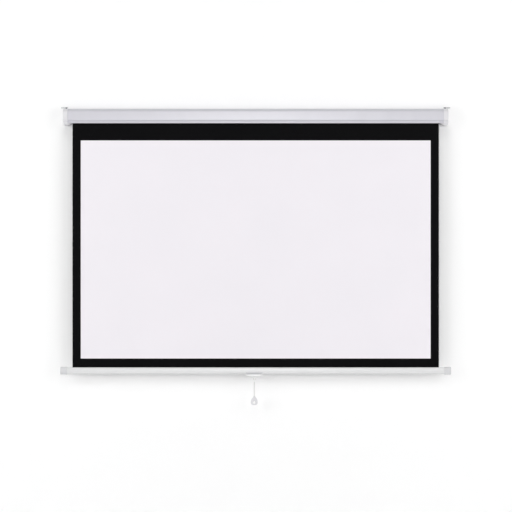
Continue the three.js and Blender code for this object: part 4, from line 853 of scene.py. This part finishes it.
turns_of_cloth = wound_cloth()
roll = make_piece("wound_screen", [turns_of_cloth], black_cloth)
x, y, z = turns_of_cloth[0].T
map_cloth(roll.data, np.stack([x, np.arctan2(z, y - AXIS_Y) * ROLL_MIDDLE], -1))
stand_in(roll, "roller", "fabric_roll")

# Bottom bar. A hollow oval aluminium extrusion, 33 mm tall and 19 mm deep, powder coated like
# the casing, with a slotted pocket along its top that holds the fabric's spline.
BAR_HALF = 956.0
BAR_MIDDLE = (FABRIC_Y, -1252.0)
BAR_DEPTH = 19.0
BAR_HEIGHT = 33.0
BAR_WALL = 1.4
MOUTH_HALF = 0.8
POCKET_INNER, POCKET_OUTER = 2.2, 3.25
POCKET_Z = -1238.9


def squared_circle(angle, power):
    """The cosine and the sine of an angle, each raised to 2 over the power with its sign kept: a
    circle at 2, and nearer to a square as the power grows."""
    return [np.sign(f(angle)) * np.abs(f(angle)) ** (2 / power) for f in (np.cos, np.sin)]


def oval(grow=0.0, count=128):
    """The bar's outline, grown by a distance: a slightly squared circle about the bar's middle,
    times half a side each."""
    angle = np.linspace(0, 2 * np.pi, count, endpoint=False) + np.pi / 2
    a, b = squared_circle(angle, 2.5)
    return np.stack([a * (BAR_DEPTH / 2 + grow), b * (BAR_HEIGHT / 2 + grow)], -1) + BAR_MIDDLE


def beside_mouth(outline):
    """The part of a closed outline, from its top round to its top, that is clear of the mouth."""
    return outline[(np.abs(outline[:, 0] - FABRIC_Y) > MOUTH_HALF) | (outline[:, 1] < POCKET_Z)]


bar_wall = out_and_back(beside_mouth(oval()), beside_mouth(oval(-BAR_WALL)))
gap = math.asin(MOUTH_HALF / POCKET_INNER)
swing = np.linspace(np.pi / 2 + gap, 5 * np.pi / 2 - gap, 41)
arc = np.stack([np.cos(swing), np.sin(swing)], -1)
pocket = out_and_back(arc * POCKET_OUTER, arc * POCKET_INNER) + (FABRIC_Y, POCKET_Z)
bar_shells = [carried(section, -BAR_HALF, BAR_HALF) for section in (bar_wall, pocket)]
bar_coat = powder_coat("white_powder_coat", "#DFDFE0", "#E5E5E6")
bar = make_piece("white_bottom_bar", bar_shells, bar_coat)
stand_in(bar, "bar", "bottom_bar")

# Bar end caps. White ABS caps, 34 mm long, with soft outer edges. They are moulded hollow and
# pushed over the bar's two ends.
BAR_CAP_INNER, BAR_CAP_OUTER = 926.3, 960.3
BAR_CAP_GAP, BAR_CAP_WALL, BAR_CAP_END = 0.3, 2.4, 4.0
BAR_CAP_EDGE = 3.5
BAR_CAP_RIM = [(0.0, 0.7), (0.2, 0.2), (0.7, 0.0)]


def bar_cap():
    """Ovals grown from the bar's own: from the socket's floor out to the rim, over it, along the
    outside and round the outer edge."""
    full = BAR_CAP_GAP + BAR_CAP_WALL
    rings = [(BAR_CAP_OUTER - BAR_CAP_END, BAR_CAP_GAP), (BAR_CAP_INNER, BAR_CAP_GAP)]
    rings += [(BAR_CAP_INNER + along, full - inset) for along, inset in BAR_CAP_RIM]
    rings += [(BAR_CAP_OUTER - BAR_CAP_EDGE * (1 - math.sin(a)),
               full - BAR_CAP_EDGE * (1 - math.cos(a))) for a in np.linspace(0, np.pi / 2, 10)]
    return shell(np.stack([np.insert(oval(grow), 0, x, axis=1) for x, grow in rings]))


bar_cap_abs = moulded_abs("dull_white_abs", "#D1D1D3", "#D7D7D9")
for name, side in SIDES.items():
    bar_cap_piece = make_piece(f"{name}_bar_cap", mirrored([bar_cap()], side), bar_cap_abs)
    stand_in(bar_cap_piece, "bar", f"bar_end_cap_{name}")

# Handle. One ABS moulding screwed to the bar's underside, 7 mm left of the middle: a saddle that
# grips the lower third of the bar, a short neck, a bowed flange to pull on, and a lug for the ring.
HANDLE_X = -7.0
BAR_BOTTOM = -1268.5
SADDLE_TOP = BAR_BOTTOM + 7
SADDLE_HALF_TOP, SADDLE_HALF_LOW = 44.0, 32.0
SADDLE_GAP, SADDLE_WALL, SADDLE_CORNER = 0.3, 2.2, 3.5
NECK_HALF, NECK_DEPTH = 32.0, 5.5
FLANGE_TOP, FLANGE_LOW = -1271.6, -1280.5
FLANGE_HALF, FLANGE_DEPTH, FLANGE_TAPER, FLANGE_TIP = 40.0, 8.5, 2.0, 1.6
NUB_HALF, NUB_LOW = 7.5, -1285.6
LUG_HALF, LUG_DEPTH = 1.6, 4.0
LUG_HOLE_Z, LUG_HOLE = -1286.4, 1.6


def saddle():
    """Part of the oval's shell, from one side under the bar to the other. Its half length falls
    evenly from the top of the saddle to the bar's underside, less a quarter circle's drop at the
    top corners, and its skins are two grown ovals."""
    outer, inner = oval(SADDLE_GAP + SADDLE_WALL, 256), oval(SADDLE_GAP, 256)
    low = np.flatnonzero(outer[:, 1] < SADDLE_TOP)
    section = out_and_back(outer[low], inner[low])
    share = np.clip((section[:, 1] - BAR_BOTTOM) / (SADDLE_TOP - BAR_BOTTOM), 0, 1)
    reach = SADDLE_HALF_LOW + (SADDLE_HALF_TOP - SADDLE_HALF_LOW) * share
    near_top = np.clip(1 - (SADDLE_TOP - section[:, 1]) / SADDLE_CORNER, 0, 1)
    reach -= SADDLE_CORNER * (1 - np.sqrt(1 - near_top ** 2))
    stations = np.linspace(-1, 1, 9)[:, None]
    grid = np.zeros((9, len(section), 3))
    grid[..., 0] = HANDLE_X + stations * reach
    grid[..., 1:] = section
    return shell(grid)


def by_angle(outline, middle, turns):
    """An outline's points at given angles about a middle, read between its own points."""
    step = np.roll(outline, -1, 0) - outline
    fine = np.concatenate([outline + step * share for share in np.linspace(0, 1, 12)[:-1]])
    offset = fine - middle
    angle = np.arctan2(offset[:, 1], offset[:, 0])
    order = np.argsort(angle)
    reach = np.interp(turns, angle[order], np.linalg.norm(offset, axis=1)[order], period=2 * np.pi)
    return np.stack([np.cos(turns), np.sin(turns)], -1) * reach[:, None] + middle


def eyed_plate(outline, hole, middle, centre, half_depth, along, columns=128, rows=28):
    """A plate with a hole and soft edges: the section between the outline and the hole is a
    squared circle, which is carried round the middle."""
    turns = np.linspace(-np.pi, np.pi, columns, endpoint=False)
    rim, eye = by_angle(outline, middle, turns), by_angle(hole, middle, turns)
    angle = np.linspace(0, 2 * np.pi, rows, endpoint=False)
    mix, rise = squared_circle(angle, 4.0)
    share = (1 + mix)[:, None, None] / 2
    grid = np.zeros((rows, columns, 3))
    grid[..., [k for k in range(3) if k != along]] = rim * share + eye * (1 - share)
    grid[..., along] = centre + half_depth * rise[:, None]
    return shell(grid, rows_round=True)


def bowed_flange():
    """Sections along X, each a squared circle. Its height falls from the middle to a thin end by
    the cube of the distance, and its depth by the sixth power."""
    across = np.sin(np.linspace(-np.pi / 2, np.pi / 2, 41))
    height = FLANGE_TOP - FLANGE_LOW
    height = FLANGE_TIP + (height - FLANGE_TIP) * (1 - np.abs(across) ** 3)
    half_depth = FLANGE_DEPTH - FLANGE_TAPER * np.abs(across) ** 6
    turn = np.linspace(0, 2 * np.pi, 48, endpoint=False)
    side, rise = squared_circle(turn, 4.0)
    grid = np.zeros((len(across), len(turn), 3))
    grid[..., 0] = HANDLE_X + FLANGE_HALF * across[:, None]
    grid[..., 1] = FABRIC_Y + half_depth[:, None] * side
    grid[..., 2] = FLANGE_TOP + height[:, None] * (rise - 1) / 2
    return shell(grid)


def both_halves(middle, half):
    """The corners of a symmetric outline, from one half of them by their distance from a middle."""
    return ([(middle - far, level, radius) for far, level, radius in half]
            + [(middle + far, level, radius) for far, level, radius in half[::-1]])


neck_outline = rounded([(HANDLE_X + a * NECK_HALF, FABRIC_Y + b * NECK_DEPTH, 3)
                        for a, b in ((-1, -1), (1, -1), (1, 1), (-1, 1))])
nub_outline = rounded(both_halves(HANDLE_X, [
    (NUB_HALF, FLANGE_LOW + 1, 0), (LUG_HALF, NUB_LOW + 1.1, 4), (LUG_HALF, NUB_LOW, 0)]))
lug_outline = rounded(both_halves(FABRIC_Y, [(LUG_DEPTH, -1284, 0), (LUG_DEPTH, -1289.5, 3)]))
lug_middle = (FABRIC_Y, LUG_HOLE_Z)
grip_abs = moulded_abs("bright_white_abs", "#F5F5F6", "#FAFAFA")
# The saddle's light grey is painted shade: it darkens the saddle where the shadow under the bar's
# curve falls.
saddle_shade_abs = moulded_abs("saddle_painted_shade_abs", "#C1C1C4", "#C8C8CB")
saddle_shell = saddle()
handle = make_piece("white_handle", [
    saddle_shell,
    slab(neck_outline, FLANGE_TOP - 1, BAR_BOTTOM - 1, 0.3, along=2),
    bowed_flange(),
    slab(nub_outline, FABRIC_Y - LUG_DEPTH, FABRIC_Y + LUG_DEPTH, 1.0),
    eyed_plate(lug_outline, circle(LUG_HOLE, *lug_middle), lug_middle, HANDLE_X, LUG_HALF,
               along=0, columns=48, rows=16),
], grip_abs)
# The saddle's faces take the grey of painted shade.
handle.data.materials.append(saddle_shade_abs)
in_saddle = np.arange(len(handle.data.polygons)) < len(saddle_shell[1])
handle.data.polygons.foreach_set("material_index", in_saddle.astype(np.int32))
stand_in(handle, "bar", "handle_clip")

# Handle screws. Two more of the zinc-plated pan-headed screws, driven up through the flange
# into the bar's underside.
HANDLE_SCREW_LENGTH = 11.2
HANDLE_SCREW_SEAT = FLANGE_LOW + 2.2
HANDLE_SCREW_X = 17.0

handle_screw_points, handle_screw_faces = screw(HANDLE_SCREW_LENGTH)
along, a, b = handle_screw_points.T
for name, side in SIDES.items():
    placed = np.stack([HANDLE_X + side * HANDLE_SCREW_X + a, FABRIC_Y + b,
                       HANDLE_SCREW_SEAT - along], -1)
    handle_screw = make_piece(f"{name}_handle_screw", [(placed, handle_screw_faces)], zinc_steel)
    stand_in(handle_screw, "bar", f"handle_screw_{name}")

# Cord ring. A small closed ring of 2 mm nickel-plated wire, 12 mm across, that hangs in the
# handle's lug and carries the ferrule.
CORD_RING_Z = -1291.4
CORD_RING_RADIUS, CORD_RING_WIRE = 5.0, 1.0

# Nickel plate: bright, slightly warm metal, evenly polished, with faint dull spots.
nickel_steel, _, _ = mottled("nickel_plated_steel", "#DCDBD8", "#DCDBD8", 1.5 * MM, (0.18, 0.27),
                             metallic=1.0)

ring_circle = circle(CORD_RING_RADIUS, HANDLE_X, CORD_RING_Z, 64)
loop = wire_loop(np.insert(ring_circle, 1, FABRIC_Y, axis=1), (0, 1, 0), CORD_RING_WIRE)
cord_ring = make_piece("steel_cord_ring", [loop], nickel_steel, sharp=60)
stand_in(cord_ring, "swing_ring", "cord_ring")

# Ferrule. A moulded white ABS sleeve fixed round the cord's top end, with an eye above it that
# hangs on the cord ring.
EYE_Z = -1296.4
EYE_RADIUS, EYE_WIRE = 2.4, 0.9
FERRULE_PROFILE = [(0.0, -1307.7, 0), (2.9, -1307.7, 0.4), (3.6, -1307.0, 0.4),
                   (3.6, -1300.4, 0.6), (2.0, -1298.8, 0.4), (0.0, -1298.8, 0)]


def turned(profile, x, y, columns=32):
    """A profile of radius and height turned about an upright axis at (x, y)."""
    turn = np.linspace(0, 2 * np.pi, columns, endpoint=False)
    radius, height = np.maximum(profile[:, :1], 0.01), profile[:, 1:] + 0 * turn
    return shell(np.stack([x + radius * np.cos(turn), y + radius * np.sin(turn), height], -1))


eye_circle = circle(EYE_RADIUS, FABRIC_Y, EYE_Z, 48)
eye = wire_loop(np.insert(eye_circle, 0, HANDLE_X, axis=1), (1, 0, 0), EYE_WIRE)
sleeve = turned(rounded(FERRULE_PROFILE, steps=4, closed=False), HANDLE_X, FABRIC_Y)
ferrule = make_piece("white_ferrule", [eye, sleeve], grip_abs)
stand_in(ferrule, "pull", "cord_ferrule")

# Pull. A flat bell-shaped white ABS grip at the cord's end, 10 mm thick with soft edges, and a
# drop-shaped opening for a finger or a pole's hook.
PULL_TOP, PULL_LOW = -1377.3, -1421.3
PULL_CORNERS = [(5, PULL_TOP, 2.5), (5, PULL_TOP - 4, 20), (15.5, PULL_TOP - 14, 20),
                (18, PULL_LOW, 13)]
PULL_DEPTH = 5.0
EYE_CORNERS = [(HANDLE_X - 9, -1415.3, 9), (HANDLE_X + 9, -1415.3, 9), (HANDLE_X, -1397.3, 2.5)]
EYE_MIDDLE = (HANDLE_X, -1410.0)

pull_plate = eyed_plate(
    rounded(both_halves(HANDLE_X, PULL_CORNERS), steps=12), rounded(EYE_CORNERS, steps=12),
    EYE_MIDDLE, FABRIC_Y, PULL_DEPTH, along=1)
pull = make_piece("white_pull_grip", [pull_plate], cap_abs, sharp=60)
stand_in(pull, "pull", "pull_drop")
